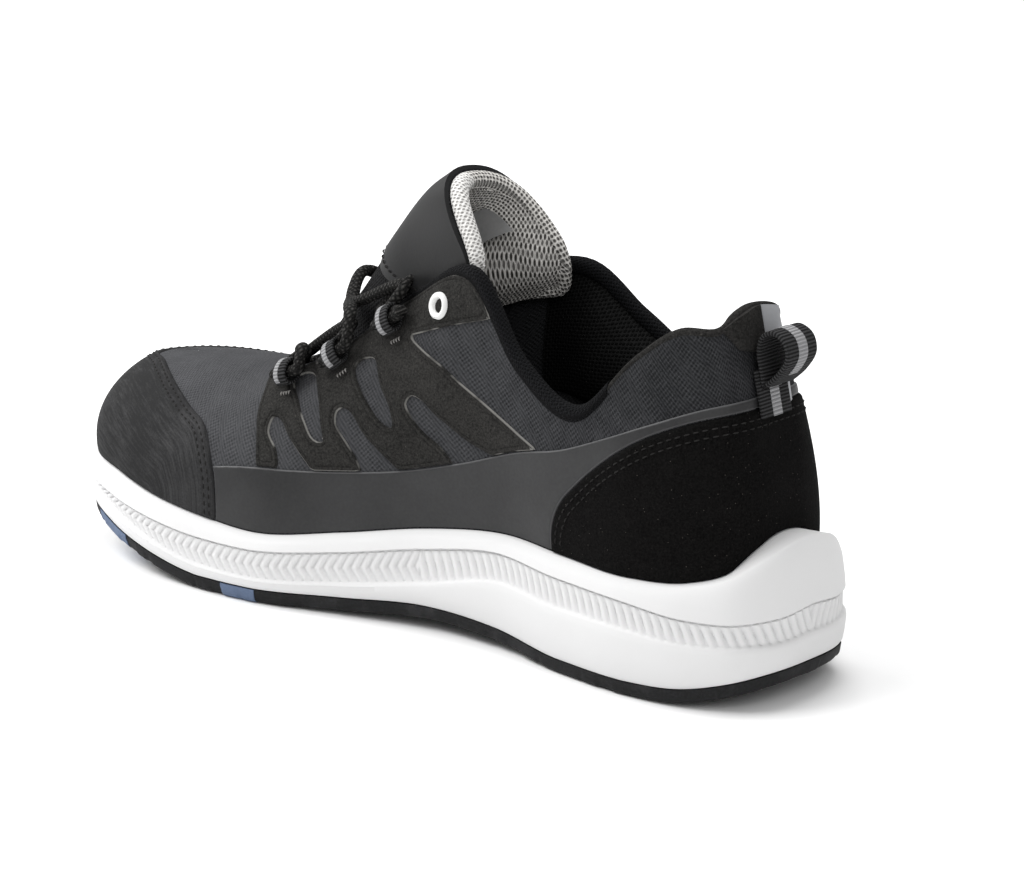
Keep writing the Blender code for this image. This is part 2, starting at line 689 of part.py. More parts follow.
def tube(name, points, radius, collection, sides=2):
    curve = bpy.data.curves.new(name, "CURVE")
    curve.dimensions = "3D"
    curve.bevel_depth = radius
    curve.bevel_resolution = sides
    curve.use_fill_caps = True
    line = curve.splines.new("POLY")
    line.points.add(len(points) - 1)
    for point, place in zip(line.points, points):
        point.co = (*place, 1.0)
    made = bpy.data.objects.new(name, curve)
    collection.objects.link(made)
    bpy.context.view_layer.update()
    mesh = bpy.data.meshes.new_from_object(made.evaluated_get(bpy.context.evaluated_depsgraph_get()))
    bpy.data.objects.remove(made)
    bpy.data.curves.remove(curve)
    work = bmesh.new()
    work.from_mesh(mesh)
    bmesh.ops.remove_doubles(work, verts=work.verts, dist=1e-5)
    bmesh.ops.recalc_face_normals(work, faces=work.faces)
    work.to_mesh(mesh)
    work.free()
    solid = bpy.data.objects.new(name, mesh)
    collection.objects.link(solid)
    return solid


def strip(name, path, width, thick, direction, collection):
    """A flat webbing strip along a closed path, extruded along one direction."""
    path = np.array(path, float)
    count = len(path)
    direction = np.array(direction, float)
    ahead = np.roll(path, -1, axis=0) - np.roll(path, 1, axis=0)
    normal = np.cross(ahead, direction)
    normal /= np.linalg.norm(normal, axis=1)[:, None]
    inner, outer = path - normal * thick / 2, path + normal * thick / 2
    half = direction * width / 2
    points = np.vstack([inner - half, inner + half, outer - half, outer + half])
    faces = []
    for i in range(count):
        j = (i + 1) % count
        faces += [
            (i, count + i, count + j, j),
            (2 * count + i, 2 * count + j, 3 * count + j, 3 * count + i),
            (i, j, 2 * count + j, 2 * count + i),
            (count + i, 3 * count + i, 3 * count + j, count + j),
        ]
    return new_object(name, points, faces, collection)


def oval(centre, half_a, half_b, axis_a, axis_b, count=14):
    centre, axis_a, axis_b = (np.array(v, float) for v in (centre, axis_a, axis_b))
    turns = np.linspace(0, 2 * math.pi, count, endpoint=False)
    return [centre + axis_a * half_a * math.cos(t) + axis_b * half_b * math.sin(t) for t in turns]


def tongue_crest(share):
    """Crest of the tongue at a share of its rows, from its end under the vamp to its top."""
    rows = table(TONGUE_COLUMNS, TONGUE_ROWS)
    knots = np.arange(len(TONGUE_ROWS), dtype=float)
    crest = np.stack([
        rows["along"] * SOLE_LENGTH - SOLE_LENGTH / 2,
        TONGUE_SHIFT * np.minimum(knots / 4, 1.0),
        rows["height"] * INSTEP_HEIGHT,
    ], axis=1)
    return hermite(knots, crest, np.atleast_1d(share * knots[-1]))[0]


def shell_point(row, share, side, depth):
    """A point at a depth under the upper's outer face, and its rib's direction there."""
    station = np.interp(row, np.arange(ROWS), np.concatenate([[0], np.cumsum(SOLE["cells"][:-1])]))
    low = int(station)
    part = station - low
    grid = rib_points((share - 0.02, share, share + 0.02))
    normal = face_normals(grid)[1]
    a, b = (low, low + 1) if side > 0 else (partner(low), partner(low + 1))
    mix = grid[:, a] * (1 - part) + grid[:, b] * part
    out = normal[a] * (1 - part) + normal[b] * part
    along = mix[2] - mix[0]
    return mix[1] - out / np.linalg.norm(out) * depth, along / np.linalg.norm(along)


def tongue_section(k, turns):
    """One section of the tongue's outer face: a leg under each side of the throat and an arch between."""
    rows = table(TONGUE_COLUMNS, TONGUE_ROWS)
    row, hold, power = (float(np.interp(k, np.arange(len(TONGUE_ROWS)), rows[name]))
                        for name in ("row", "hold", "round"))
    depth = UPPER_WALL + TONGUE_CLEAR
    legs, springs = [], []
    for side in (1, -1):
        leg = [shell_point(row, hold - TONGUE_TUCK * drop, side, depth + TONGUE_SPREAD * drop)[0]
               for drop in (1.0, 0.5, 0.0)]
        spring, along = shell_point(row, hold, side, depth)
        legs.append(leg)
        springs.append(spring + along * TONGUE_THICK * TONGUE_SPRING)
    crest = tongue_crest(k / (len(TONGUE_ROWS) - 1))
    middle = (springs[0] + springs[1]) / 2
    arch = []
    for turn in turns:
        wide = math.sin(turn * math.pi / 2)
        rise = (1 - abs(wide) ** power) ** (1 / power)
        arch.append(middle + (springs[0] - middle) * wide + (crest - middle) * rise)
    return legs, arch


def build_tongue(collection):
    sections = [tongue_section(k, np.linspace(1, -1, 7)) for k in range(len(TONGUE_ROWS))]
    outer = np.array([legs[0] + arch + legs[1][::-1] for legs, arch in sections])
    normal = np.cross(np.gradient(outer, axis=1), np.gradient(outer, axis=0))
    normal /= np.linalg.norm(normal, axis=2)[..., None]
    thick = TONGUE_THICK * np.array(TONGUE_TAPER)
    inner = outer + normal * thick[None, :, None]
    rows, width = outer.shape[:2]
    points = np.vstack([inner.reshape(-1, 3), outer.reshape(-1, 3)])
    return new_object("tongue", points, shell_faces(rows, range(width), False), collection)


def surface_frame(places_share, rib_share, side):
    """Point, rib direction, edge direction and normal of the outer face beside the throat."""
    station = row_station(10) + (row_station(8) - row_station(10)) * places_share
    low, high = int(math.floor(station)), int(math.floor(station)) + 1
    part = station - low
    step = 0.02
    grid = rib_points(np.array([rib_share - step, rib_share, rib_share + step]))
    if side < 0:
        low, high = partner(low), partner(high)
    line = grid[:, low] * (1 - part) + grid[:, high] * part
    rib = Vector(line[2] - line[0]).normalized()
    edge = Vector(grid[1, high] - grid[1, low]).normalized()
    if edge.x > 0:
        edge = -edge
    normal = rib.cross(edge).normalized()
    if normal.y * side < 0:
        normal = -normal
    edge = normal.cross(rib).normalized()
    if edge.x > 0:
        edge = -edge
    return Vector(line[1]), rib, edge, normal


def loop_centre(places_share, side):
    point, rib, edge, normal = surface_frame(places_share, LOOP_RIB, side)
    stand = SUEDE_THICK + 3 * GAP + WEB_THICK + LOOP_BORE / 2
    return point + normal * stand, rib, edge, normal


def build_lace_loop(name, places_share, side, collection):
    """A webbing loop lying on the eyestay beside the throat, with its bore along the edge."""
    centre, rib, edge, normal = loop_centre(places_share, side)
    long, high = LOOP_BORE * 0.75 + WEB_THICK / 2, LOOP_BORE / 2 + WEB_THICK / 2
    return strip(name, oval(centre, long, high, rib, normal, 10), LOOP_WIDTH, WEB_THICK, edge, collection)


def over_tongue(share, turn):
    """A lace's place over the tongue: a share of its rows, and a share of its arch from near to far."""
    k, step = share * (len(TONGUE_ROWS) - 1), 0.05
    point = tongue_section(k, (turn,))[1][0]
    ahead = tongue_section(k + step, (turn,))[1][0] - point
    across = tongue_section(k, (turn + step,))[1][0] - point
    out = Vector(np.cross(ahead, across)).normalized()
    return Vector(point) + (out if out.z > 0 else -out) * LACE_LIFT


def lace_route(start):
    """One lace from the middle of the lowest bar, crossing over the tongue between the loops."""
    route = []
    side = start
    for k, places_share in enumerate(LOOP_STATIONS):
        centre, _, edge, normal = loop_centre(places_share, side)
        run = edge * LOOP_WIDTH * LACE_RUN
        bend = edge * LOOP_WIDTH * LACE_BEND + normal * GAP
        turns = LACE_TURNS[LACE_TURNS.index(0.0):] if k == 0 else LACE_TURNS
        route += [over_tongue(LACE_CRESTS[k], -side * turn) for turn in turns]
        rim, _, edge_rim, out = surface_frame(places_share, 1.0, side)
        stand = LACE_RADIUS + SUEDE_THICK + LACE_ARRIVE
        route.append(rim - edge_rim * LOOP_WIDTH * LACE_BEND / 2 + out * stand)
        route += [centre - bend, centre - run, centre + run, centre + bend]
        if k < len(LOOP_STATIONS) - 1:
            route.append(centre + bend + Vector((0.0, -side * 0.25, 1.0)) * LACE_LEAVE)
        side = -side
    point, rib, _, normal = surface_frame(LACE_TUCK, 1.0, -side)
    away = normal * (LACE_RADIUS + SUEDE_THICK + 3 * GAP)
    route.append(route[-1].lerp(point, 0.5) + away * 0.6)
    route.append(point + away + rib * LACE_RADIUS)
    return np.array([tuple(place) for place in route])


def build_lace(collection, cutters):
    """Bar and crossings as one joined solid."""
    first = tube("lace", lace_route(1), LACE_RADIUS, collection, 1)
    second = tube("lace_second", lace_route(-1), LACE_RADIUS, cutters, 1)
    second.hide_render = True
    second.display_type = "WIRE"
    boolean(first, second, "UNION")
    return first


def build_eyelet(name, side, cutters, collection):
    """A white ring on the eyestay's top tab, and the cutter of the hole under it."""
    point, _, _, normal = surface_frame(EYELET_PLACE, EYELET_RIB, side)
    seat = point + normal * (SUEDE_THICK + 4 * GAP)
    turn = normal.to_track_quat("Z", "Y").to_matrix().to_4x4()
    turn.translation = seat
    profile = [(EYELET_BORE, 0.0), (EYELET_OUTER, 0.0), ((EYELET_OUTER + EYELET_BORE) / 2, EYELET_THICK),
               (EYELET_BORE, EYELET_THICK * 0.6)]
    count = 12
    points, faces = [], []
    for k in range(count):
        angle = 2 * math.pi * k / count
        points += [turn @ Vector((r * math.cos(angle), r * math.sin(angle), z)) for r, z in profile]
    size = len(profile)
    for k in range(count):
        here, after = k * size, (k + 1) % count * size
        faces += [(here + i, here + (i + 1) % size, after + (i + 1) % size, after + i) for i in range(size)]
    new_object(name, points, faces, collection)
    circle = [tuple(p[:2]) for p in oval((0, 0, 0), EYELET_BORE, EYELET_BORE, (1, 0, 0), (0, 1, 0), count)]
    hole = prism(name + "_hole", circle, -2 * EYELET_OUTER, 2 * EYELET_OUTER, "Z", cutters)
    hole.matrix_world = turn
    return hole


def build_pull_loop(collection):
    """Webbing loop behind the heel tab, with its foot on the centre back panel."""
    grid = rib_points((PULL_LOW, PULL_HIGH))
    low, high = Vector(grid[0, 0]), Vector(grid[1, 0])
    up = (high - low).normalized()
    out = Vector((-up.z, 0.0, up.x))
    stand = GAP + FILM_THICK + 5 * GAP + PULL_THICK / 2
    reach = (high - low).length
    foot = low + out * stand
    line = []
    for share, away in PULL_SHAPE:
        line.append(foot + up * reach * share + out * reach * away)
    line = smooth_line([tuple(p) for p in line + line[:1]], 3)[:-1]
    return strip("pull_loop", line, PULL_WIDTH, PULL_THICK, (0.0, 1.0, 0.0), collection)


# Assembly

PIECE_LOOKS = {
    "outsole": ((0.035, 0.037, 0.040), 0.75),
    "outsole_insert_ball": ((0.10, 0.16, 0.33), 0.70),
    "outsole_insert_toe": ((0.10, 0.16, 0.33), 0.70),
    "midsole": ((0.86, 0.86, 0.86), 0.55),
    "insole": ((0.05, 0.05, 0.055), 0.90),
    "upper": ((0.045, 0.050, 0.060), 0.85),
    "toe_cap": ((0.018, 0.018, 0.018), 0.80),
    "heel_counter": ((0.016, 0.015, 0.015), 0.95),
    "side_film": ((0.040, 0.041, 0.044), 0.50),
    "eyestay": ((0.022, 0.020, 0.018), 0.95),
    "collar_cuff": ((0.020, 0.020, 0.023), 0.90),
    "collar_lining": ((0.014, 0.014, 0.015), 0.95),
    "heel_panel": ((0.12, 0.12, 0.135), 0.50),
    "pull_loop": ((0.020, 0.020, 0.020), 0.85),
    "tongue": ((0.050, 0.052, 0.058), 0.80),
    "lace_loop": ((0.020, 0.020, 0.020), 0.85),
    "lace": ((0.040, 0.041, 0.043), 0.90),
    "eyelet": ((0.80, 0.80, 0.80), 0.40),
}


def side_prism(name, line, closing, low, high, cutters):
    """A cutter from a side-view line, closed by further side-view shares."""
    return prism(name, [tuple(p) for p in line] + side_points(closing), low, high, "Y", cutters)


def main():
    for old in list(bpy.data.objects):
        bpy.data.objects.remove(old, do_unlink=True)
    shoe = bpy.data.collections.new("safety_sneaker")
    cutters = bpy.data.collections.new("cutters")
    bpy.context.scene.collection.children.link(shoe)
    bpy.context.scene.collection.children.link(cutters)

    outsole = build_outsole("outsole", shoe)
    grooves = groove_cutters(cutters)
    pockets = []
    for name, at, half, depth in INSERTS:
        insert = build_outsole(name, shoe)
        boolean(insert, insert_prism(name + "_keep", at, half, depth, 0.0, cutters), "INTERSECT")
        boolean(insert, grooves, "DIFFERENCE")
        pockets.append(insert_prism(name + "_pocket", at, half, depth, GAP, cutters))
    cut_by(outsole, [grooves, *pockets], cutters)
    build_midsole(shoe)
    build_insole(shoe)
    build_upper(shoe)
    build_tongue(shoe)

    wide = BALL_WIDTH
    cap_line = smooth_line([(a * SOLE_LENGTH - SOLE_LENGTH / 2, b * BALL_WIDTH) for a, b in CAP_EDGE])
    beyond = [(SOLE_LENGTH, cap_line[-1][1]), (SOLE_LENGTH, cap_line[0][1])]
    cap_flat = [tuple(p) for p in cap_line] + beyond
    cap_keep = prism("cap_keep", cap_flat, OUTSOLE_BAND, COLLAR_HEIGHT, "Z", cutters)
    clear_line = [tuple(p) for p in grow(cap_line, -GAP)]
    cap_clear = prism("cap_clear", clear_line + beyond, 0.0, COLLAR_HEIGHT + GAP, "Z", cutters)
    counter_line = smooth_line(side_points(COUNTER_FRONT))
    film_line = smooth_line(side_points(FILM_TOP))
    behind, above = -CUT_BEYOND, 1.0 + 1.4 * CUT_BEYOND
    front = 1.0 + CUT_BEYOND / 3
    rear = behind + 0.1
    counter_keep = side_prism("counter_keep", counter_line, ((rear, 0.76), (rear, 0.1), (0.262, 0.1)),
                              -wide, wide, cutters)
    counter_clear = side_prism("counter_clear", grow(counter_line, -GAP),
                               ((behind, 0.76), (behind, 0.0), (0.262, 0.0)),
                               -wide - GAP, wide + GAP, cutters)
    above_film = side_prism("above_film", film_line,
                            ((-0.05, above), (front, above), (front, FILM_TOP[0][1])), -wide, wide, cutters)
    below_film = side_prism("below_film", grow(film_line, -GAP), ((-0.06, 0.05), (0.75, 0.05)),
                            -wide, wide, cutters)
    before_suede = side_prism("before_suede", smooth_line(side_points(SUEDE_FRONT)),
                              ((0.710, above), (front, above), (front, 0.1), (0.655, 0.1)),
                              -wide - GAP, wide + GAP, cutters)
    behind_suede = side_prism("behind_suede", side_points(((SUEDE_REAR[0][0], above), *SUEDE_REAR)),
                              ((behind, 0.2), (behind, above)), -wide - 2 * GAP, wide + 2 * GAP, cutters)
    windows = [prism(f"window_{k}", side_points(window), -wide - 3 * GAP, wide + 3 * GAP, "Y", cutters)
               for k, window in enumerate(WINDOWS)]
    cap = build_overlay("toe_cap", SUEDE_THICK, shoe, row_station(9), STATIONS - row_station(9))
    boolean(cap, cap_keep, "INTERSECT")
    counter = build_overlay("heel_counter", SUEDE_THICK, shoe, -row_station(7), row_station(7))
    boolean(counter, counter_keep, "INTERSECT")

    cuff_ends = row_station(8)
    build_band("collar_cuff", CUFF_SHARES, GAP, np.array(CUFF_SWELL) * CUFF_THICK + GAP,
               shoe, -cuff_ends, cuff_ends)
    cuff_clear = build_band("cuff_clear", (CUFF_SHARES[0] - 0.008, 1.0), -GAP, 2 * CUFF_THICK,
                            cutters, -cuff_ends - 1, cuff_ends + 1, 0.3)
    cuff_clear.hide_render = True
    cuff_clear.display_type = "WIRE"
    lining_ends = row_station(7) - 1
    build_band("collar_lining", LINING_SHARES, -UPPER_WALL - GAP,
               -UPPER_WALL - GAP - np.array(LINING_SWELL) * LINING_THICK, shoe, -lining_ends, lining_ends)
    build_band("heel_panel", PANEL_SHARES, GAP, GAP + FILM_THICK, shoe, -1, 1)

    for side, name in ((1, "near"), (-1, "far")):
        run = (1, row_station(11)) if side > 0 else (STATIONS - row_station(11), STATIONS - 1)
        film = build_overlay("side_film_" + name, FILM_THICK, shoe, *run)
        cut_by(film, [above_film, cap_clear, counter_clear], cutters)
        suede = build_overlay("eyestay_" + name, SUEDE_THICK, shoe, *run)
        hole = build_eyelet("eyelet_" + name, side, cutters, shoe)
        cut_by(suede, [below_film, before_suede, behind_suede, cuff_clear, hole, *windows], cutters)
        for k, places_share in enumerate(LOOP_STATIONS):
            build_lace_loop(f"lace_loop_{name}_{k + 1}", places_share, side, shoe)
    build_lace(shoe, cutters)
    build_pull_loop(shoe)

    # The shoe's box is centred on the origin.
    span = outline(BAND_STEP)[0][:, 1]
    for made in [*shoe.objects, *cutters.all_objects]:
        made.location.y -= (span.max() + span.min()) / 2

    for piece in shoe.objects:
        look = max((key for key in PIECE_LOOKS if piece.name.startswith(key)), key=len)
        color, roughness = PIECE_LOOKS[look]
        piece.data.materials.clear()
        piece.data.materials.append(make_material(piece.name, color, roughness))


main()
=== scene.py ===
import math
import random

import bpy
import numpy as np
from mathutils import Matrix, Vector
from mathutils.kdtree import KDTree


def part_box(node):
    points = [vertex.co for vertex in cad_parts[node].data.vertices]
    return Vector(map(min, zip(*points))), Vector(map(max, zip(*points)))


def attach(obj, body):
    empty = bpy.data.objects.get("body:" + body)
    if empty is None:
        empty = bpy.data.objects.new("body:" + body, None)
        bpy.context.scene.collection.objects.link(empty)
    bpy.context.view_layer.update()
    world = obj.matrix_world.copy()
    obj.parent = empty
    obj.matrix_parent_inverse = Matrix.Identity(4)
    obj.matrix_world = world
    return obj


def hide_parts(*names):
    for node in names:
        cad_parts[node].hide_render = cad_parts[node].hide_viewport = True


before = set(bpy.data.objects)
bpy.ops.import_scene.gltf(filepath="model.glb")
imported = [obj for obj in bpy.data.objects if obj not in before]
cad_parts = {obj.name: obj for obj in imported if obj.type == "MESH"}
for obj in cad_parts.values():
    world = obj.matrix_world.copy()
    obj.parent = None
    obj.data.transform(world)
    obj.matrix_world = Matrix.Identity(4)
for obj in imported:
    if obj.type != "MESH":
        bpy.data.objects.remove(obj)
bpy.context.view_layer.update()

# Sizes of the whole shoe, in metres. The length comes from the frame.
soleLow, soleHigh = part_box("outsole")
shoe = {
    "soleLength": soleHigh.x - soleLow.x,
    "ballWidth": 0.107,
    "toeSpring": 0.020,
    "heelStack": 0.039,
    "outsoleBand": 0.0048,
    "footBed": 0.032,
    "collarHeight": 0.122,
    "instepHeight": 0.110,
    "toeHeight": 0.068,
    "wall": 0.0020,
    "suede": 0.0012,
    "gap": 0.0003,
    "fineness": 9,
    "ribSteps": 64,
}

# Sole sections from the heel's back to the toe's tip, as shares of the sizes above.
soleNames = ("at", "near", "far", "lift", "inset", "feather", "bed", "low", "high", "cells")
soleRows = (
    (0.000, 0.000, 0.000, 0.36, 0.110, 1.36, 1.00, 0.25, 0.44, 2),
    (0.005, 0.150, 0.135, 0.34, 0.105, 1.29, 1.00, 0.26, 0.44, 2),
    (0.028, 0.266, 0.256, 0.24, 0.086, 1.14, 1.00, 0.35, 0.53, 2),
    (0.076, 0.332, 0.327, 0.07, 0.060, 1.03, 1.00, 0.45, 0.65, 2),
    (0.148, 0.362, 0.360, 0.00, 0.041, 0.99, 0.98, 0.53, 0.76, 2),
    (0.248, 0.338, 0.360, 0.00, 0.043, 1.00, 0.96, 0.53, 0.78, 2),
    (0.347, 0.292, 0.369, 0.12, 0.042, 1.00, 0.90, 0.52, 0.79, 2),
    (0.447, 0.300, 0.407, 0.17, 0.038, 0.89, 0.79, 0.33, 0.72, 2),
    (0.548, 0.369, 0.472, 0.07, 0.036, 0.74, 0.67, 0.26, 0.68, 2),
    (0.650, 0.453, 0.523, 0.00, 0.034, 0.63, 0.58, 0.22, 0.67, 2),
    (0.733, 0.473, 0.523, 0.00, 0.034, 0.67, 0.61, 0.23, 0.63, 2),
    (0.817, 0.466, 0.477, 0.20, 0.033, 0.75, 0.69, 0.28, 0.58, 2),
    (0.883, 0.423, 0.402, 0.40, 0.031, 0.83, 0.77, 0.34, 0.52, 2),
    (0.943, 0.348, 0.280, 0.65, 0.027, 0.88, 0.86, 0.38, 0.48, 2),
    (0.977, 0.247, 0.150, 0.85, 0.027, 0.95, 0.95, 0.40, 0.46, 1),
    (0.997, 0.115, 0.040, 0.98, 0.029, 1.01, 1.01, 0.40, 0.46, 1),
    (1.000, 0.030, -0.030, 1.00, 0.030, 1.02, 1.02, 0.40, 0.46, 0),
)
edgeNames = ("along", "near", "far", "size", "height", "other", "bulge", "rise", "shoulder", "drop")
edgeRows = (
    (0.082, 0.000, 0.000, "collar", 1.000, 1.000, -0.010, 0.35, 0.40, 0.35),
    (0.078, 0.105, 0.085, "collar", 0.988, 0.988, -0.004, 0.35, 0.40, 0.35),
    (0.088, 0.160, 0.132, "collar", 0.955, 0.955, 0.006, 0.35, 0.45, 0.35),
    (0.122, 0.208, 0.195, "collar", 0.950, 0.950, 0.014, 0.35, 0.55, 0.35),
    (0.165, 0.257, 0.275, "collar", 0.873, 0.880, 0.019, 0.35, 0.60, 0.32),
    (0.233, 0.299, 0.336, "collar", 0.705, 0.730, 0.019, 0.35, 0.30, 0.32),
    (0.317, 0.280, 0.345, "collar", 0.795, 0.820, 0.028, 0.35, 0.20, 0.32),
    (0.396, 0.236, 0.305, "instep", 1.108, 1.050, 0.024, 0.35, 0.60, 0.30),
    (0.497, 0.160, 0.162, "instep", 0.990, 0.985, 0.018, 0.40, 0.45, 0.25),
    (0.613, 0.175, 0.165, "instep", 0.762, 0.785, 0.020, 0.44, 0.50, 0.28),
    (0.700, 0.132, 0.130, "instep", 0.652, 0.660, 0.022, 0.50, 0.50, 0.12),
    (0.740, 0.019, -0.019, "toe", 1.030, 1.030, 0.024, 0.52, 0.50, 0.00),
    (0.787, 0.028, -0.028, "toe", 1.022, 1.022, 0.026, 0.54, 0.50, 0.00),
    (0.830, 0.033, -0.033, "toe", 1.012, 1.012, 0.028, 0.54, 0.52, 0.00),
    (0.863, 0.037, -0.037, "toe", 1.000, 1.000, 0.028, 0.50, 0.54, 0.00),
    (0.885, 0.037, -0.037, "toe", 0.985, 0.985, 0.028, 0.47, 0.56, 0.00),
    (0.893, 0.037, -0.037, "toe", 0.980, 0.980, 0.028, 0.46, 0.57, 0.00),
)
ridgeRow = 11


def columnsOf(names, rows):
    return {name: np.array([row[k] for row in rows]) for k, name in enumerate(names)}


soleTable = columnsOf(soleNames, soleRows)
edgeTable = columnsOf(edgeNames, edgeRows)


def smoothCurve(knots, values, wanted):
    # a smooth curve through the values, with each slope taken from both neighbours
    knots, values, wanted = (np.asarray(a, float) for a in (knots, values, wanted))
    flat = values.ndim == 1
    values = values[:, None] if flat else values
    steps = np.diff(knots)[:, None]
    slopes = np.diff(values, axis=0) / steps
    inner = np.vstack([slopes[:1], (slopes[:-1] * steps[1:] + slopes[1:] * steps[:-1]) / (steps[:-1] + steps[1:]),
                       slopes[-1:]])
    cell = np.clip(np.searchsorted(knots, wanted, side="right") - 1, 0, len(knots) - 2)
    span = steps[cell]
    t = (wanted - knots[cell])[:, None] / span
    out = (((2 * t - 3) * t * t + 1) * values[cell] + ((t - 2) * t + 1) * t * inner[cell] * span
           + (3 - 2 * t) * t * t * values[cell + 1] + (t - 1) * t * t * inner[cell + 1] * span)
    return out[:, 0] if flat else out


def runAlong(points):
    # the distance along a line of points, from its first
    return np.concatenate([[0.0], np.cumsum(np.linalg.norm(np.diff(points, axis=0), axis=1))])


def smoothPath(points, spacing):
    points = np.array([tuple(p) for p in points], float)
    reach = runAlong(points)
    return smoothCurve(reach, points, np.linspace(0, reach[-1], max(3, int(reach[-1] / spacing) + 1)))


def bothSides(near, far):
    return np.concatenate([near, far[-2:0:-1]])


def unit(vectors):
    return vectors / np.maximum(np.linalg.norm(vectors, axis=-1, keepdims=True), 1e-12)


def alongSole(share):
    return share * shoe["soleLength"] - shoe["soleLength"] / 2


outlineRows = np.stack([
    alongSole(bothSides(soleTable["at"], soleTable["at"])),
    bothSides(soleTable["near"], -soleTable["far"]) * shoe["ballWidth"],
], axis=1)
rowReach = runAlong(np.vstack([outlineRows, outlineRows[:1]]))
turn = rowReach[-1]


def placesFor(fineness):
    # places round the sole, with as many on the near side as on the far side
    cells = soleTable["cells"][:-1].astype(int) * fineness
    places = []
    for k, count in enumerate(np.concatenate([cells, cells[::-1]])):
        places.extend(rowReach[k] + (rowReach[k + 1] - rowReach[k]) * i / count for i in range(count))
    return np.array(places)


def around(values, places):
    knots = np.concatenate([rowReach[:-1] - turn, rowReach[:-1], rowReach[:-1] + turn])
    return smoothCurve(knots, np.concatenate([values] * 3), np.mod(places, turn))


def soleColumn(name, places):
    return around(bothSides(soleTable[name], soleTable[name]), places)


def insetAt(places):
    return soleColumn("inset", places) * shoe["ballWidth"]


def outlineAt(offset, places):
    at = around(outlineRows, places)
    step = 0.0005
    along = around(outlineRows, places + step) - around(outlineRows, places - step)
    normal = unit(np.stack([-along[:, 1], along[:, 0]], axis=1))
    return at + normal * np.reshape(offset, (-1, 1)), normal


# The part's box is centred across, so everything drawn here is moved over by the same amount.
bandEdge = outlineAt(0.0009, placesFor(1))[0][:, 1]
shiftY = -(bandEdge.max() + bandEdge.min()) / 2

places = placesFor(shoe["fineness"])
stations = len(places)
half = stations // 2
rowStation = np.concatenate([[0], np.cumsum(soleTable["cells"][:-1])]).astype(int) * shoe["fineness"]
shares = np.linspace(0.0, 1.0, shoe["ribSteps"] + 1)


def ribGrid(wanted):
    # the upper's outer face: a row for each share of the ribs, a column for each station
    plan, normal = outlineAt(-insetAt(places), places)
    foot = np.column_stack([plan, soleColumn("feather", places) * shoe["heelStack"]])
    sizes = {"collar": shoe["collarHeight"], "instep": shoe["instepHeight"], "toe": shoe["toeHeight"]}
    size = np.array([sizes[s] for s in edgeTable["size"]])
    column = {n: edgeTable[n].astype(float) for n in edgeNames if n != "size"}
    along = alongSole(column["along"])
    end = np.column_stack([
        around(bothSides(along, along), places),
        around(bothSides(column["near"], -column["far"]) * shoe["ballWidth"], places),
        around(bothSides(size * column["height"], size * column["other"]), places),
    ])
    for i in range(rowStation[ridgeRow], half + 1):
        j = (stations - i) % stations
        end[i] = end[j] = (end[i] + end[j]) / 2
    rise = (end - foot)[:, 2]
    lowHandle, highHandle = foot.copy(), end.copy()
    ringed = {n: around(bothSides(column[n], column[n]), places) for n in ("bulge", "rise", "shoulder", "drop")}
    lowHandle[:, :2] += normal * (ringed["bulge"] * shoe["ballWidth"])[:, None]
    lowHandle[:, 2] += ringed["rise"] * rise
    highHandle[:, :2] += (foot - end)[:, :2] * ringed["shoulder"][:, None]
    highHandle[:, 2] -= ringed["drop"] * rise
    t = np.asarray(wanted)[:, None, None]
    u = 1 - t
    return u ** 3 * foot + 3 * u * u * t * lowHandle + 3 * u * t * t * highHandle + t ** 3 * end


def gridNormals(grid):
    across = np.roll(grid, -1, axis=1) - np.roll(grid, 1, axis=1)
    normal = unit(np.cross(np.gradient(grid, axis=0), across))
    for i in range(rowStation[ridgeRow], half):
        j = (stations - i) % stations
        normal[-1, i] = normal[-1, j] = unit(normal[-1, i] + normal[-1, j])
    normal[-1, half] = normal[-1, half - 1]
    return normal


def gridRun(grid, axis):
    # the distance run along each of the grid's lines
    run = np.cumsum(np.linalg.norm(np.diff(grid, axis=axis), axis=2), axis=axis)
    return np.concatenate([np.zeros_like(run.take([0], axis)), run], axis)


# Soft troughs (deep below zero) and ridges of the upper, placed one by one.
# Each row: x and z, side (1 near, -1 far), lean in degrees from +X, reach along and across, depth.
creaseRows = (
    (0.046, 0.052, 1, 62, 0.015, 0.0045, -0.00045),
    (0.058, 0.055, 1, 70, 0.012, 0.0040, 0.00030),
    (0.046, 0.052, -1, 62, 0.015, 0.0045, -0.00045),
    (0.072, 0.061, -1, 40, 0.012, 0.0050, -0.00035),
    (0.070, 0.060, 1, 35, 0.012, 0.0050, -0.00035),
    (-0.020, 0.078, 1, -35, 0.024, 0.0060, 0.00060),
    (-0.045, 0.072, 1, -12, 0.022, 0.0060, -0.00050),
    (-0.088, 0.098, 1, 35, 0.016, 0.0080, 0.00080),
    (-0.100, 0.096, 1, 8, 0.014, 0.0040, -0.00035),
    (-0.088, 0.098, -1, 35, 0.016, 0.0080, 0.00080),
    (-0.116, 0.104, 1, 70, 0.010, 0.0040, -0.00040),
    (-0.020, 0.078, -1, -35, 0.024, 0.0060, 0.00060),
    (0.020, 0.072, 1, 55, 0.018, 0.0050, -0.00030),
)


def softForm(grid, normal):
    out = grid.copy()
    for x, z, side, lean, long, wide, deep in creaseRows:
        dx, dz = grid[..., 0] - x, grid[..., 2] - z
        a = math.radians(lean)
        along, across = dx * math.cos(a) + dz * math.sin(a), dz * math.cos(a) - dx * math.sin(a)
        weight = np.exp(-(along / long) ** 2 - (across / wide) ** 2) * (grid[..., 1] * side > 0)
        out += normal * (weight * deep)[..., None]
    return out


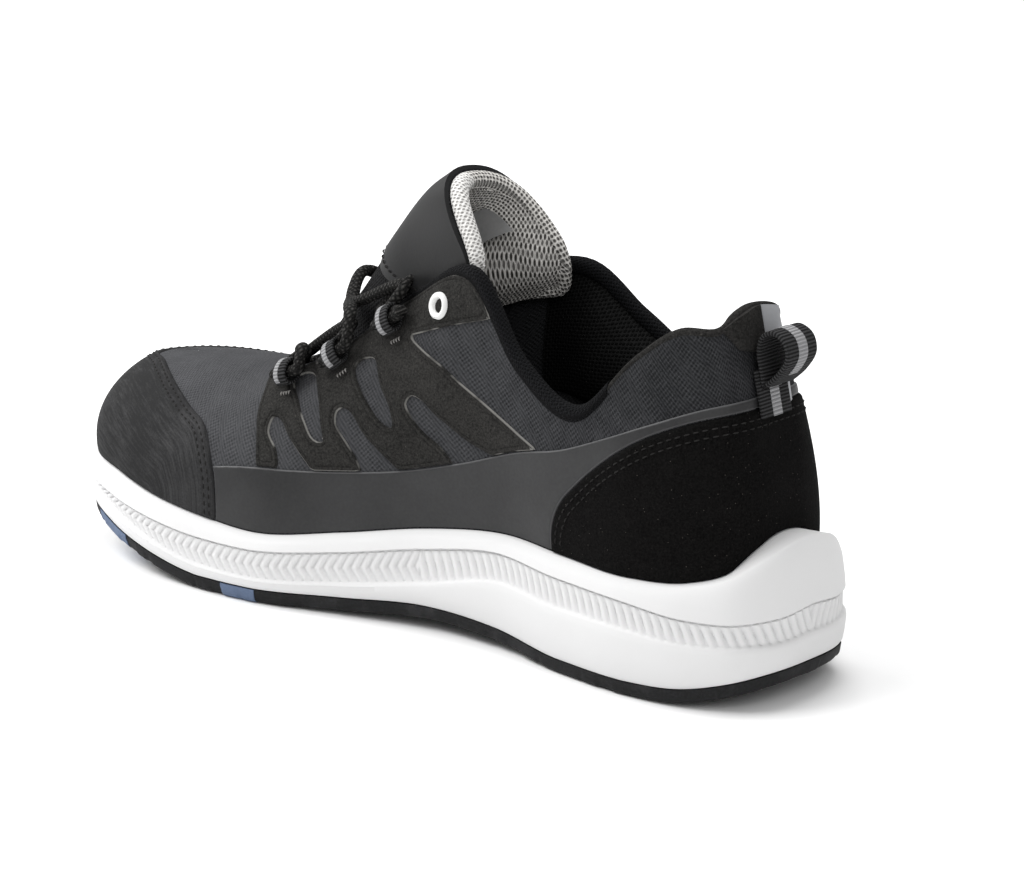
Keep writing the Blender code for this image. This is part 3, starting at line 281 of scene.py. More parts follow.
shellPoints = ribGrid(shares)
shellPoints = softForm(shellPoints, gridNormals(shellPoints))
shellNormals = gridNormals(shellPoints)
ribRun = gridRun(shellPoints, 0)
rowRun = np.broadcast_to(places, (len(shares), stations))
shellUv = np.stack([rowRun, ribRun], axis=2)
print("shell", stations, "stations", len(shares), "rows")


# Meshes

def addMesh(name, points, faces, material, slot, hides=True, uv=None, layers=None, smooth=45.0, turned=False):
    # hides: the piece takes the place of the node that its slot is named after
    mesh = bpy.data.meshes.new(name)
    points = np.asarray(points, float) + (0.0, shiftY, 0.0)
    faces = [tuple(int(i) for i in f) for f in faces]
    if turned:
        faces = [f[::-1] for f in faces]
    mesh.from_pydata(points.tolist(), [], faces)
    if uv is not None:
        layer = mesh.uv_layers.new(name="surface")
        corners = np.empty(len(mesh.loops), np.int32)
        mesh.loops.foreach_get("vertex_index", corners)
        layer.uv.foreach_set("vector", np.asarray(uv, np.float32)[corners].ravel())
    for key, values in (layers or {}).items():
        made = mesh.attributes.new(key, "FLOAT", "POINT")
        made.data.foreach_set("value", np.asarray(values, np.float32))
    mesh.materials.append(material)
    mesh.shade_smooth()
    mesh.set_sharp_from_angle(angle=math.radians(smooth))
    piece = bpy.data.objects.new(name, mesh)
    bpy.context.scene.collection.objects.link(piece)
    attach(piece, "root")
    if hides:
        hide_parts(slot)
    return piece


def gridFaces(rows, width, closed):
    j, i = np.meshgrid(np.arange(rows - 1), np.arange(width if closed else width - 1), indexing="ij")
    a, b = j * width + i, j * width + (i + 1) % width
    return np.stack([a, a + width, b + width, b], axis=-1).reshape(-1, 4)


def twoFaces(rows, width, closed=False):
    # the front of a thick sheet and its back, which is turned
    front = gridFaces(rows, width, closed)
    return [*front, *(front[:, ::-1] + rows * width)]


def lidFaces(start, count):
    # closes the ring whose points begin at start, with faces from each near place to its far partner
    faces = []
    for i in range(count // 2):
        corners = start + i, start + i + 1, start + (count - i - 1) % count, start + (count - i) % count
        quad = list(dict.fromkeys(corners))
        if len(quad) > 2:
            faces.append(quad)
    return faces


def acrossGrid(ring, across):
    # lines from a ring's near places to their far partners, the share along each line and its length
    middle = len(ring) // 2
    near, far = ring[:middle + 1], ring[(len(ring) - np.arange(middle + 1)) % len(ring)]
    t = np.linspace(0, 1, across)[None, :, None]
    return near[:, None] * (1 - t) + far[:, None] * t, t[..., 0], np.linalg.norm(near - far, axis=1)[:, None]


def shellSheet(first, last):
    # a run of the upper's stations as one triangle sheet with its own data
    run = np.arange(first, last + 1)
    pick = run % stations
    quads = gridFaces(len(shellPoints), len(pick), False)
    uv = shellUv[:, pick].copy()
    uv[..., 0] += run // stations * turn
    return {"tris": np.concatenate([quads[:, [0, 1, 2]], quads[:, [0, 2, 3]]]),
            "point": shellPoints[:, pick].reshape(-1, 3), "normal": shellNormals[:, pick].reshape(-1, 3),
            "uv": uv.reshape(-1, 2)}


def cutTriangles(sheet, level):
    # which triangles the line edge = level cuts, and their corners with the odd one first
    value = sheet["edge"] - level
    value = np.where(np.abs(value) < 1e-8, 1e-8, value)
    inside = value[sheet["tris"]] > 0
    count = inside.sum(1)
    mixed = (count == 1) | (count == 2)
    cut = sheet["tris"][mixed]
    odd = np.where(count[mixed][:, None] == 1, inside[mixed], ~inside[mixed]).argmax(1)
    rows = np.arange(len(cut))
    return value, count, mixed, [cut[rows, (odd + k) % 3] for k in range(3)]


def splitSheet(sheet, level, drop=False):
    # cuts the triangles along edge = level, and drops what is below it if asked
    tris = sheet["tris"]
    value, count, mixed, (a, b, c) = cutTriangles(sheet, level)
    if len(a) == 0:
        return {**sheet, "tris": tris[count == 3] if drop else tris}
    ends = np.sort(np.concatenate([np.stack([a, b], 1), np.stack([a, c], 1)]), axis=1)
    pairs, index = np.unique(ends, axis=0, return_inverse=True)
    index = index.reshape(-1) + len(value)
    ab, ac = index[:len(a)], index[len(a):]
    part = value[pairs[:, 0]] / (value[pairs[:, 0]] - value[pairs[:, 1]])
    out = {}
    for key, data in sheet.items():
        if key != "tris":
            weight = part.reshape((-1,) + (1,) * (data.ndim - 1))
            out[key] = np.concatenate([data, data[pairs[:, 0]] * (1 - weight) + data[pairs[:, 1]] * weight])
    tip, rest = np.stack([a, ab, ac], 1), np.concatenate([np.stack([ab, b, c], 1), np.stack([ab, c, ac], 1)])
    if drop:
        tipInside = count[mixed] == 1
        restInside = np.concatenate([~tipInside, ~tipInside])
        out["tris"] = np.concatenate([tris[count == 3], tip[tipInside], rest[restInside]])
    else:
        out["tris"] = np.concatenate([tris[~mixed], tip, rest])
    return out


def outlineDistance(points, outline):
    # distance in the drawing plane, above zero inside the outline
    outline = np.asarray(outline, float)
    best = np.full(len(points), 1.0)
    inside = np.zeros(len(points), bool)
    for a, b in zip(outline, np.roll(outline, -1, axis=0)):
        ab = b - a
        t = np.clip(((points - a) @ ab) / max(ab @ ab, 1e-16), 0, 1)
        best = np.minimum(best, np.linalg.norm(points - a - t[:, None] * ab, axis=1))
        crosses = (a[1] > points[:, 1]) != (b[1] > points[:, 1])
        with np.errstate(divide="ignore", invalid="ignore"):
            inside ^= crosses & (points[:, 0] < ab[0] * (points[:, 1] - a[1]) / ab[1] + a[0])
    return np.where(inside, best, -best)


def levelSegments(sheet, level):
    # the line edge = level as pairs of points, with their normals
    value, _, _, (a, b, c) = cutTriangles(sheet, level)

    def crossing(p, q):
        low, high = np.minimum(p, q), np.maximum(p, q)
        t = (value[low] / (value[low] - value[high]))[:, None]
        point, normal = (sheet[key][low] * (1 - t) + sheet[key][high] * t for key in ("point", "normal"))
        return low * len(value) + high, point, normal
    return crossing(a, b), crossing(a, c)


def edgeField(sheet, flat):
    # turns a drawing-plane distance into the distance over the surface from the same outline
    sheet["edge"] = flat
    (_, start, _), (_, end, _) = levelSegments(sheet, 0.0)
    steps = np.linspace(0, 1, 7)[:, None, None]
    line = (start * (1 - steps) + end * steps).reshape(-1, 3)
    tree = KDTree(len(line))
    for k, p in enumerate(line):
        tree.insert(p, k)
    tree.balance()
    field = flat.copy()
    for k in np.flatnonzero(np.abs(flat) < 0.03):
        field[k] = math.copysign(tree.find(sheet["point"][k])[2], flat[k])
    sheet["edge"] = field
    return sheet


def levelPaths(sheet, level):
    # the lines edge = level, each in order along it
    (keyA, pointA, normalA), (keyB, pointB, normalB) = levelSegments(sheet, level)
    spot, near = {}, {}
    for ka, kb, pa, pb, na, nb in zip(keyA, keyB, pointA, pointB, normalA, normalB):
        spot[ka], spot[kb] = (pa, na), (pb, nb)
        near.setdefault(ka, []).append(kb)
        near.setdefault(kb, []).append(ka)
    paths, seen = [], set()
    for start in sorted(near, key=lambda k: (len(near[k]), k)):
        if start in seen:
            continue
        chain, here = [start], start
        seen.add(start)
        while True:
            after = [k for k in near[here] if k not in seen]
            if not after:
                break
            here = after[0]
            seen.add(here)
            chain.append(here)
        if len(chain) > 3:
            paths.append((np.array([spot[k][0] for k in chain]), unit(np.array([spot[k][1] for k in chain]))))
    return paths


def addPatch(name, sheet, relief, material, slot, hides=True):
    # relief: pairs of distance from the edge and height over the fabric
    under = 0.0002  # how far the patch reaches into the fabric
    sheet = splitSheet(sheet, 0.0, drop=True)
    for distance, _ in relief[1:]:
        sheet = splitSheet(sheet, distance)
    used, tris = np.unique(sheet["tris"], return_inverse=True)
    tris = tris.reshape(-1, 3)
    data = {k: v[used] for k, v in sheet.items() if k != "tris"}
    normal = unit(data["normal"])
    height = np.interp(data["edge"], [r[0] for r in relief], [r[1] for r in relief])
    top, bottom = data["point"] + normal * height[:, None], data["point"] - normal * under
    edges = np.concatenate([tris[:, [0, 1]], tris[:, [1, 2]], tris[:, [2, 0]]])
    _, index, counts = np.unique(np.sort(edges, axis=1), axis=0, return_inverse=True, return_counts=True)
    rim = edges[counts[index.reshape(-1)] == 1]
    shift = len(used)
    walls = np.stack([rim[:, 1], rim[:, 0], rim[:, 0] + shift, rim[:, 1] + shift], 1)
    faces = [*tris, *(tris[:, ::-1] + shift), *walls]
    return addMesh(name, np.vstack([top, bottom]), faces, material, slot, hides,
                   uv=np.vstack([data["uv"]] * 2), layers={"edge": np.concatenate([data["edge"]] * 2)})


def addSweep(name, path, frames, profile, material, slot, hides=True, closed=False):
    # carries a closed profile, in metres, along a path; frames give each point's two cross directions
    path = np.asarray(path)
    count, size = len(path), len(profile[0])
    points, uv = [], []
    run = runAlong(path)
    for k in range(count):
        shape = np.asarray(profile[k])
        points.append(path[k] + shape[:, :1] * frames[k][0] + shape[:, 1:] * frames[k][1])
        uv.append(np.column_stack([np.full(size, run[k]), runAlong(shape)]))
    faces = []
    for k in range(count if closed else count - 1):
        a, b = k * size, (k + 1) % count * size
        faces += [(a + i, a + (i + 1) % size, b + (i + 1) % size, b + i) for i in range(size)]
    if not closed:
        faces += [tuple(range(size - 1, -1, -1)), tuple((count - 1) * size + i for i in range(size))]
    return addMesh(name, np.vstack(points), faces, material, slot, hides, uv=np.vstack(uv), turned=True)


def roundProfile(a, b, count=14, power=2.0):
    angles = np.linspace(0, 2 * math.pi, count, endpoint=False)
    c, s = np.cos(angles), np.sin(angles)
    return np.column_stack([np.sign(c) * np.abs(c) ** (2 / power) * a, np.sign(s) * np.abs(s) ** (2 / power) * b])


def framesAlong(path, up):
    ahead = unit(np.gradient(np.asarray(path), axis=0))
    side = unit(np.cross(ahead, up))
    return [(s, u) for s, u in zip(side, unit(np.cross(side, ahead)))]


def addStitches(name, paths, stitch, material, slot):
    # thread lying in short runs along the paths: length, pause, radius and lift in metres
    sides = 6
    swells, lifts = np.array([0.35, 0.9, 1.0, 0.9, 0.35]), np.array([-0.6, 0.4, 0.7, 0.4, -0.6])
    points, faces = [], []
    angles = np.linspace(0, 2 * math.pi, sides, endpoint=False)
    for path, normal in paths:
        reach = runAlong(path)
        whole = stitch["long"] + stitch["pause"]
        for start in np.arange(stitch["pause"], reach[-1] - whole, whole):
            at = np.linspace(start, start + stitch["long"], len(swells))
            spot, up = (np.column_stack([np.interp(at, reach, values[:, k]) for k in range(3)])
                        for values in (path, normal))
            up = unit(up)
            side = unit(np.cross(np.gradient(spot, axis=0), up))
            swell = swells * stitch["radius"]
            lift = lifts * stitch["radius"] + stitch["lift"]
            base = len(points)
            for k in range(len(swells)):
                points.extend(spot[k] + up[k] * (lift[k] + swell[k] * math.sin(w)) + side[k] * swell[k] * math.cos(w)
                              for w in angles)
            for k in range(base, base + (len(swells) - 1) * sides, sides):
                faces += [(k + i, k + (i + 1) % sides, k + sides + (i + 1) % sides, k + sides + i)
                          for i in range(sides)]
            faces += [tuple(range(base + sides - 1, base - 1, -1)), tuple(range(len(points) - sides, len(points)))]
    return addMesh(name, np.array(points), faces, material, slot, False)


# Materials

class Wire:
    # a socket with arithmetic: an expression adds its Math nodes
    def __init__(self, tree, socket):
        self.tree, self.socket = tree, socket

    def run(self, operation, *values):
        made = self.tree.nodes.new("ShaderNodeMath")
        made.operation = operation
        for k, value in enumerate(values):
            if isinstance(value, Wire):
                self.tree.links.new(value.socket, made.inputs[k])
            else:
                made.inputs[k].default_value = value
        return Wire(self.tree, made.outputs[0])

    def __add__(self, other):
        return self.run("ADD", self, other)

    def __radd__(self, other):
        return self.run("ADD", other, self)

    def __sub__(self, other):
        return self.run("SUBTRACT", self, other)

    def __rsub__(self, other):
        return self.run("SUBTRACT", other, self)

    def __mul__(self, other):
        return self.run("MULTIPLY", self, other)

    def __rmul__(self, other):
        return self.run("MULTIPLY", other, self)

    def __truediv__(self, other):
        return self.run("DIVIDE", self, other)

    def __pow__(self, other):
        return self.run("POWER", self, other)

    def over(self, low, high):
        # 0 below low, 1 above high, straight between
        made = self.tree.nodes.new("ShaderNodeMapRange")
        self.tree.links.new(self.socket, made.inputs["Value"])
        made.inputs["From Min"].default_value = low
        made.inputs["From Max"].default_value = high
        return Wire(self.tree, made.outputs[0])


class Finish:
    def __init__(self, name, **fixed):
        self.material = bpy.data.materials.new(name)
        self.material.use_nodes = True
        self.tree = self.material.node_tree
        self.shader = self.tree.nodes["Principled BSDF"]
        for key, value in fixed.items():
            self.shader.inputs[key.replace("_", " ")].default_value = value

    def node(self, kind, settings=None, inputs=None, output=0):
        made = self.tree.nodes.new("ShaderNode" + kind)
        for key, value in (settings or {}).items():
            setattr(made, key, value)
        for key, value in (inputs or {}).items():
            if isinstance(value, Wire):
                self.tree.links.new(value.socket, made.inputs[key])
            else:
                made.inputs[key].default_value = value
        return Wire(self.tree, made.outputs[output])

    def place(self):
        return self.node("TexCoord", output="Object")

    def attribute(self, name):
        return self.node("Attribute", {"attribute_name": name}, output="Fac")

    def surface(self, scaleU=1.0, scaleV=1.0, angle=0.0):
        # the piece's own surface coordinates in metres, scaled and turned
        base = self.node("UVMap", {"uv_map": "surface"})
        return self.node("Mapping", None, {"Vector": base, "Scale": (scaleU, scaleV, 1.0),
                                           "Rotation": (0.0, 0.0, math.radians(angle))})

    def noise(self, scale, detail=3.0, rough=0.55, vector=None):
        return self.node("TexNoise", None, {"Vector": vector or self.place(), "Scale": scale, "Detail": detail,
                                            "Roughness": rough})

    def waves(self, scale, vector, direction="X", distortion=0.0, detailScale=1.0):
        return self.node("TexWave", {"bands_direction": direction, "wave_profile": "SIN"},
                         {"Vector": vector, "Scale": scale, "Distortion": distortion, "Detail Scale": detailScale})

    def cells(self, scale, vector, randomness=1.0):
        return self.node("TexVoronoi", None, {"Vector": vector, "Scale": scale, "Randomness": randomness})

    def mix(self, factor, a, b):
        return self.node("Mix", {"data_type": "RGBA"}, {"Factor": factor, 6: a if isinstance(a, Wire) else (*a, 1.0),
                                                        7: b if isinstance(b, Wire) else (*b, 1.0)}, 2)

    def paint(self, color, roughness):
        for key, value in (("Base Color", color), ("Roughness", roughness)):
            if isinstance(value, Wire):
                self.tree.links.new(value.socket, self.shader.inputs[key])
            else:
                self.shader.inputs[key].default_value = value

    def bump(self, height, distance, strength=1.0):
        made = self.node("Bump", None, {"Height": height, "Distance": distance, "Strength": strength}, "Normal")
        self.tree.links.new(made.socket, self.shader.inputs["Normal"])
        return self.material


def fabricFinish(name, color, light):
    # fine twill with a soft mottle, and painted light: lighter toward the toe, darker at the heel
    weave, scale = 302.4033, 1.0 / 0.0019  # in waves and cells a metre
    finish = Finish(name, Specular_IOR_Level=0.10)
    uv = finish.surface(angle=45.0)
    twill = finish.waves(weave, uv, "X", 1.2, 3.0) * 0.6 + finish.waves(weave * 0.7, uv, "Y", 1.0, 3.0) * 0.4
    mottle = finish.noise(120.0, 5.0, 0.65)
    fleck = finish.noise(1500.0, 2.0).over(0.60, 0.80)
    scales = finish.cells(scale, finish.surface(1.0, 1.5, 45.0), 0.2)
    # painted light: lighter toward the toe and darker at the heel, for how the light falls on the upper
    ahead = finish.node("SeparateXYZ", None, {"Vector": finish.place()}).over(-0.12, 0.11)
    shade = (twill * 0.55 + mottle * 0.75 + scales * 0.60 - 0.68) * 0.70 + fleck * 0.45 + ahead * 0.52
    finish.paint(finish.mix(shade, color, light), 0.86 + (mottle - 0.5) * 0.15)
    return finish.bump(twill * 0.7 + scales + fleck * 0.6, 0.00025, 1.0)


def suedeFinish(name, color, light, speck=0.5, paleEdge=0.0, lintScale=260.0):
    # napped leather: fine grain, brushed patches and a few pale fibres
    finish = Finish(name, Specular_IOR_Level=0.06)
    fine = finish.noise(1400.0, 4.0, 0.7)
    patch = finish.noise(75.0, 5.0, 0.65)
    fibre = finish.noise(2600.0, 1.0).over(0.64, 0.76)
    lint = 1.0 - finish.cells(lintScale, finish.place()).over(0.02, 0.08)
    shade = (fine - 0.35) * 1.8 + (patch - 0.5) * 0.45 + fibre * 0.55 * speck
    body = finish.mix(shade, color, light)
    if paleEdge:
        # a thin pale line along the edge, in places
        edge = finish.attribute("edge")
        paleLine = (1.0 - edge.over(0.00020, 0.00040)) * finish.noise(70.0, 2.0).over(0.48, 0.56)
        body = finish.mix(paleLine * paleEdge, body, (0.26, 0.255, 0.24))
    finish.paint(finish.mix(lint * 0.45 * speck, body, (0.20, 0.18, 0.16)), 0.95)
    return finish.bump(fine + patch * 0.3, 0.00024, 1.0)


def smoothFinish(name, color, light, roughness, rim=0.0, **fixed):
    finish = Finish(name, **fixed)
    fine = finish.noise(900.0, 3.0)
    broad = finish.noise(38.0, 3.0)
    body = finish.mix((fine - 0.5) * 0.5 + broad, color, light)
    # rim: strength of a painted highlight, a pale line along the patch's edge
    if rim:
        edge = finish.attribute("edge")
        body = finish.mix((1.0 - edge.over(0.0002, 0.0006)) * rim, body, (0.16, 0.16, 0.165))
    finish.paint(body, roughness + (broad - 0.5) * 0.12)
    return finish.bump(fine, 0.00004, 0.7)


def meshFinish(name, yarn, hole, pitch, angle=0.0, stretch=1.0, depth=0.0005, open=0.36):
    # spacer knit: rows of small holes between yarns
    finish = Finish(name, Specular_IOR_Level=0.12)
    uv = finish.surface(1.0, stretch, angle)
    dots = finish.cells(1.0 / pitch, uv, 0.12)
    gaps = 1.0 - dots.over(open - 0.12, open + 0.10)
    loops = finish.waves(1.0 / pitch / math.pi, uv, "DIAGONAL", 1.0, 2.0)
    fuzz = finish.noise(2300.0, 2.0)
    shade = gaps * 0.85 + (fuzz - 0.5) * 0.45 + (1.0 - loops) * 0.25
    finish.paint(finish.mix(shade, yarn, hole), 0.9)
    return finish.bump((1.0 - gaps) * 0.8 + loops * 0.30 + fuzz * 0.15, depth, 1.0)


def webbingFinish(name, color, light, pitch=0.0011):
    finish = Finish(name, Specular_IOR_Level=0.15)
    ribs = finish.waves(1.0 / pitch / math.pi, finish.surface(), "X")
    fuzz = finish.noise(2200.0, 2.0)
    finish.paint(finish.mix(ribs * 0.75 + (fuzz - 0.5) * 0.5, color, light), 0.85)
    return finish.bump(ribs + fuzz * 0.25, 0.00035, 1.0)


def braidFinish(name, color, light):
    finish = Finish(name, Specular_IOR_Level=0.10)
    strand, slant = 0.0016, 38.0
    one, other = (finish.waves(1.0 / strand / math.pi, finish.surface(angle=a), "X", 0.6, 2.0) for a in (slant, -slant))
    fuzz = finish.noise(1900.0, 3.0)
    weave = one * other
    finish.paint(finish.mix(weave * 0.8 + (fuzz - 0.45) * 0.9, color, light), 0.9)
    return finish.bump(weave + fuzz * 0.4, 0.00035, 1.0)


def foamFinish(name):
    finish = Finish(name, Specular_IOR_Level=0.4)
    fine = finish.noise(1700.0, 3.0)
    smudge = finish.noise(45.0, 5.0).over(0.62, 0.90)
    # painted shade: the grooves between the ribs (the deep attribute) are mixed toward a darker grey
    deep = finish.attribute("deep")
    shade = smudge * 0.08 + (fine - 0.5) * 0.05 + deep * 0.12
    finish.paint(finish.mix(shade, (0.650, 0.649, 0.650), (0.36, 0.36, 0.37)), 0.55 + smudge * 0.12)
    return finish.bump(fine, 0.00005, 0.6)


def rubberFinish(name, color, light):
    finish = Finish(name, Specular_IOR_Level=0.2)
    fine = finish.noise(1300.0, 3.0)
    dust = finish.noise(70.0, 5.0, 0.65).over(0.52, 0.80)
    finish.paint(finish.mix((fine - 0.4) * 0.5 + dust * 0.5, color, light), 0.70 + dust * 0.12)
    return finish.bump(fine, 0.00010, 0.8)


def capFinish(name):
    # nubuck brushed round the toe, so the grain runs with the cap's edge
    finish = Finish(name, Specular_IOR_Level=0.10)
    along = finish.attribute("edge")
    base = finish.node("SeparateXYZ", None, {"Vector": finish.surface()})
    streakAt = finish.node("CombineXYZ", None, {"X": base * 0.10, "Y": along})
    streak = finish.noise(950.0, 4.0, 0.7, streakAt)
    fine = finish.noise(1500.0, 3.0)
    patch = finish.noise(42.0, 3.0)
    finish.paint(finish.mix((streak - 0.4) * 1.1 + (patch - 0.5) * 0.6 + (fine - 0.5) * 0.4,
                            (0.018, 0.018, 0.0185), (0.085, 0.084, 0.086)), 0.88)
    return finish.bump(streak * 0.7 + fine * 0.5, 0.00016, 0.8)


quarterFabric = fabricFinish("quarterFabric", (0.010, 0.0105, 0.0115), (0.078, 0.079, 0.084))
blackSuede = suedeFinish("blackSuede", (0.009, 0.0088, 0.0083), (0.050, 0.048, 0.046))
staySuede = suedeFinish("staySuede", (0.011, 0.0108, 0.0103), (0.056, 0.054, 0.051), paleEdge=0.8)
counterSuede = suedeFinish("counterSuede", (0.0012, 0.0011, 0.0011), (0.0100, 0.0095, 0.0092), 1.1, lintScale=460.0)
capNubuck = capFinish("capNubuck")
# the film's edges carry a painted highlight (rim)
weldedFilm = smoothFinish("weldedFilm", (0.012, 0.012, 0.0125), (0.036, 0.036, 0.037), 0.45, rim=0.4,
                          Specular_IOR_Level=0.22)
collarKnit = meshFinish("collarKnit", (0.0050, 0.0052, 0.0062), (0.0012, 0.0012, 0.0016), 0.0011, 30.0)
liningKnit = meshFinish("liningKnit", (0.012, 0.012, 0.012), (0.0015, 0.0015, 0.0015), 0.0014, 0.0)
paleKnit = meshFinish("paleKnit", (0.74, 0.72, 0.69), (0.060, 0.056, 0.052), 0.0016, 0.0, 1.15, 0.0006, 0.36)
paleRoll = meshFinish("paleRoll", (0.80, 0.79, 0.77), (0.26, 0.25, 0.24), 0.0011, 30.0, 0.7, 0.0005, 0.30)
tongueKnit = meshFinish("tongueKnit", (0.010, 0.010, 0.011), (0.0015, 0.0015, 0.0015), 0.0014)
patchSkin = smoothFinish("patchSkin", (0.005, 0.005, 0.0053), (0.015, 0.015, 0.0155), 0.50, Specular_IOR_Level=0.13)
panelSkin = smoothFinish("panelSkin", (0.26, 0.265, 0.28), (0.36, 0.365, 0.38), 0.45)
labelSatin = smoothFinish("labelSatin", (0.16, 0.16, 0.16), (0.26, 0.26, 0.26), 0.40)
pullWebbing = webbingFinish("pullWebbing", (0.003, 0.003, 0.003), (0.052, 0.052, 0.054))
reflectTape = webbingFinish("reflectTape", (0.20, 0.20, 0.205), (0.36, 0.36, 0.37), 0.0012)
laceBraid = braidFinish("laceBraid", (0.0035, 0.0035, 0.0035), (0.062, 0.060, 0.057))
eyeletWhite = smoothFinish("eyeletWhite", (0.66, 0.66, 0.65), (0.80, 0.80, 0.79), 0.35)
whiteFoam = foamFinish("whiteFoam")
charcoalRubber = rubberFinish("charcoalRubber", (0.007, 0.007, 0.0075), (0.055, 0.055, 0.057))
blueRubber = rubberFinish("blueRubber", (0.095, 0.130, 0.205), (0.200, 0.245, 0.340))
blackThread = smoothFinish("blackThread", (0.004, 0.004, 0.004), (0.026, 0.025, 0.024), 0.8, Specular_IOR_Level=0.1)
paleThread = smoothFinish("paleThread", (0.12, 0.115, 0.11), (0.30, 0.29, 0.28), 0.7, Specular_IOR_Level=0.1)
bedKnit = fabricFinish("bedKnit", (0.010, 0.010, 0.011), (0.030, 0.030, 0.033))
print("materials", len(bpy.data.materials))


# Upper

def buildUpper():
    upper = {"thick": shoe["wall"], "skirt": 3}
    inner = shellPoints - shellNormals * upper["thick"]
    bed = soleColumn("bed", places) * shoe["footBed"] + shoe["gap"]
    drops = np.linspace(0, 1, upper["skirt"] + 1)[:-1, None]
    skirt = np.repeat(shellPoints[:1], upper["skirt"], axis=0).copy()
    skirt[..., 2] = bed * (1 - drops) + shellPoints[0, :, 2] * drops
    plan, _ = outlineAt(-insetAt(places) - upper["thick"], places)
    inside = skirt.copy()
    inside[..., :2] = plan
    outer, back = np.concatenate([skirt, shellPoints]), np.concatenate([inside, inner])
    rows = len(outer)
    faces = twoFaces(rows, stations, True)
    shift, top = rows * stations, (rows - 1) * stations
    for i in range(stations):
        j = (i + 1) % stations
        faces.append((i, j, j + shift, i + shift))
        if not rowStation[ridgeRow] <= i < stations - rowStation[ridgeRow]:
            faces.append((top + j, top + i, top + i + shift, top + j + shift))
    uv = np.concatenate([np.repeat(shellUv[:1], upper["skirt"], axis=0), shellUv])
    addMesh("upperShell", np.vstack([outer.reshape(-1, 3), back.reshape(-1, 3)]), faces, quarterFabric, "upper",
            uv=np.vstack([uv.reshape(-1, 2)] * 2), turned=True)


buildUpper()
print("upper")


# Overlays. Outlines are seen from the side: shares of the sole's length and of the collar height.

def sideCorners(rows):
    return np.array([(alongSole(a), b * shoe["collarHeight"]) for a, b in rows])


def sideLine(rows, steps=6):
    points = sideCorners(rows)
    reach = runAlong(points)
    wanted = np.concatenate([np.linspace(reach[k], reach[k + 1], steps, endpoint=False)
                             for k in range(len(reach) - 1)] + [reach[-1:]])
    return smoothCurve(reach, points, wanted)


def loopLine(rows, steps=6):
    # a smooth closed outline
    rows = list(rows)
    line = sideLine(rows[-2:] + rows + rows[:2], steps)
    return line[2 * steps:(len(rows) + 2) * steps]


overlayRows = {
    "filmTop": ((0.740, 0.345), (0.684, 0.369), (0.615, 0.385), (0.554, 0.400), (0.482, 0.429), (0.401, 0.484),
                (0.315, 0.558), (0.253, 0.597), (0.199, 0.649), (0.136, 0.716), (0.082, 0.768), (0.020, 0.800),
                (-0.050, 0.815)),
    "counterFront": ((0.262, 0.200), (0.264, 0.330), (0.263, 0.375), (0.251, 0.450), (0.227, 0.515), (0.188, 0.599),
                     (0.147, 0.668), (0.089, 0.732), (0.030, 0.765), (-0.050, 0.785)),
    "suedeFront": ((0.658, 0.355), (0.671, 0.440), (0.686, 0.500), (0.700, 0.550), (0.720, 0.569)),
    "suedeRear": ((0.350, 0.900), (0.423, 0.847), (0.484, 0.792), (0.433, 0.741), (0.375, 0.672), (0.315, 0.604),
                  (0.250, 0.545)),
    "capEdge": ((0.690, 0.600), (0.712, 0.440), (0.726, 0.414), (0.757, 0.354), (0.797, 0.309), (0.839, 0.250),
                (0.892, 0.150), (0.938, 0.035), (0.900, -0.070), (0.835, -0.200), (0.780, -0.290), (0.745, -0.370),
                (0.715, -0.440), (0.690, -0.600)),
}
windowRows = (
    ((0.659, 0.594), (0.625, 0.620), (0.600, 0.574), (0.587, 0.515), (0.581, 0.470), (0.589, 0.472), (0.610, 0.514),
     (0.633, 0.558)),
    ((0.560, 0.678), (0.533, 0.708), (0.518, 0.656), (0.495, 0.578), (0.492, 0.543), (0.503, 0.547), (0.526, 0.586),
     (0.543, 0.624)),
    ((0.660, 0.477), (0.659, 0.505), (0.647, 0.503), (0.627, 0.471), (0.605, 0.429), (0.589, 0.389), (0.584, 0.340),
     (0.622, 0.335), (0.639, 0.429)),
    ((0.569, 0.535), (0.569, 0.559), (0.562, 0.570), (0.551, 0.561), (0.532, 0.517), (0.507, 0.472), (0.482, 0.426),
     (0.462, 0.380), (0.515, 0.365), (0.539, 0.452), (0.553, 0.488)),
    ((0.476, 0.618), (0.470, 0.639), (0.457, 0.636), (0.435, 0.602), (0.395, 0.550), (0.344, 0.513), (0.322, 0.470),
     (0.385, 0.430), (0.430, 0.516), (0.452, 0.548), (0.468, 0.586)),
)
filmLine = sideLine(overlayRows["filmTop"])
counterLine = sideLine(overlayRows["counterFront"])
capPoints = np.array([(alongSole(a), b * shoe["ballWidth"]) for a, b in overlayRows["capEdge"]])
capReach = runAlong(capPoints)
capLine = smoothCurve(capReach, capPoints, np.linspace(0, capReach[-1], 90))
underFilm = np.vstack([filmLine, sideCorners(((-0.05, 0.0), (0.90, 0.0), (0.90, 0.335)))])
counterArea = np.vstack([counterLine, sideCorners(((-0.2, 0.765), (-0.2, 0.0), (0.262, 0.0)))])
capArea = np.vstack([capLine, ((0.4, capLine[-1][1]), (0.4, capLine[0][1]))])
suedeArea = np.vstack([sideLine(overlayRows["suedeFront"]), sideCorners(
    ((0.720, 1.3), (0.350, 1.3), *overlayRows["suedeRear"], (0.260, 0.2), (0.655, 0.2)))])
windowLines = [loopLine(rows) for rows in windowRows]


def sideOf(sheet):
    return sheet["point"][:, [0, 2]]


def buildCap():
    cap = {"relief": ((0.0, 0.0002), (0.0004, 0.0009), (0.0011, 0.00125)), "rows": (0.0018, 0.0040)}
    sheet = shellSheet(rowStation[8], stations - rowStation[8])
    sheet = edgeField(sheet, outlineDistance(sheet["point"][:, :2], capArea))
    addPatch("toeCap", sheet, cap["relief"], capNubuck, "toe_cap")
    paths = [p for d in cap["rows"] for p in levelPaths(sheet, d)]
    addStitches("toeCapStitches", paths, {"long": 0.0021, "pause": 0.0007, "radius": 0.00026, "lift": 0.0012},
                blackThread, "toe_cap")


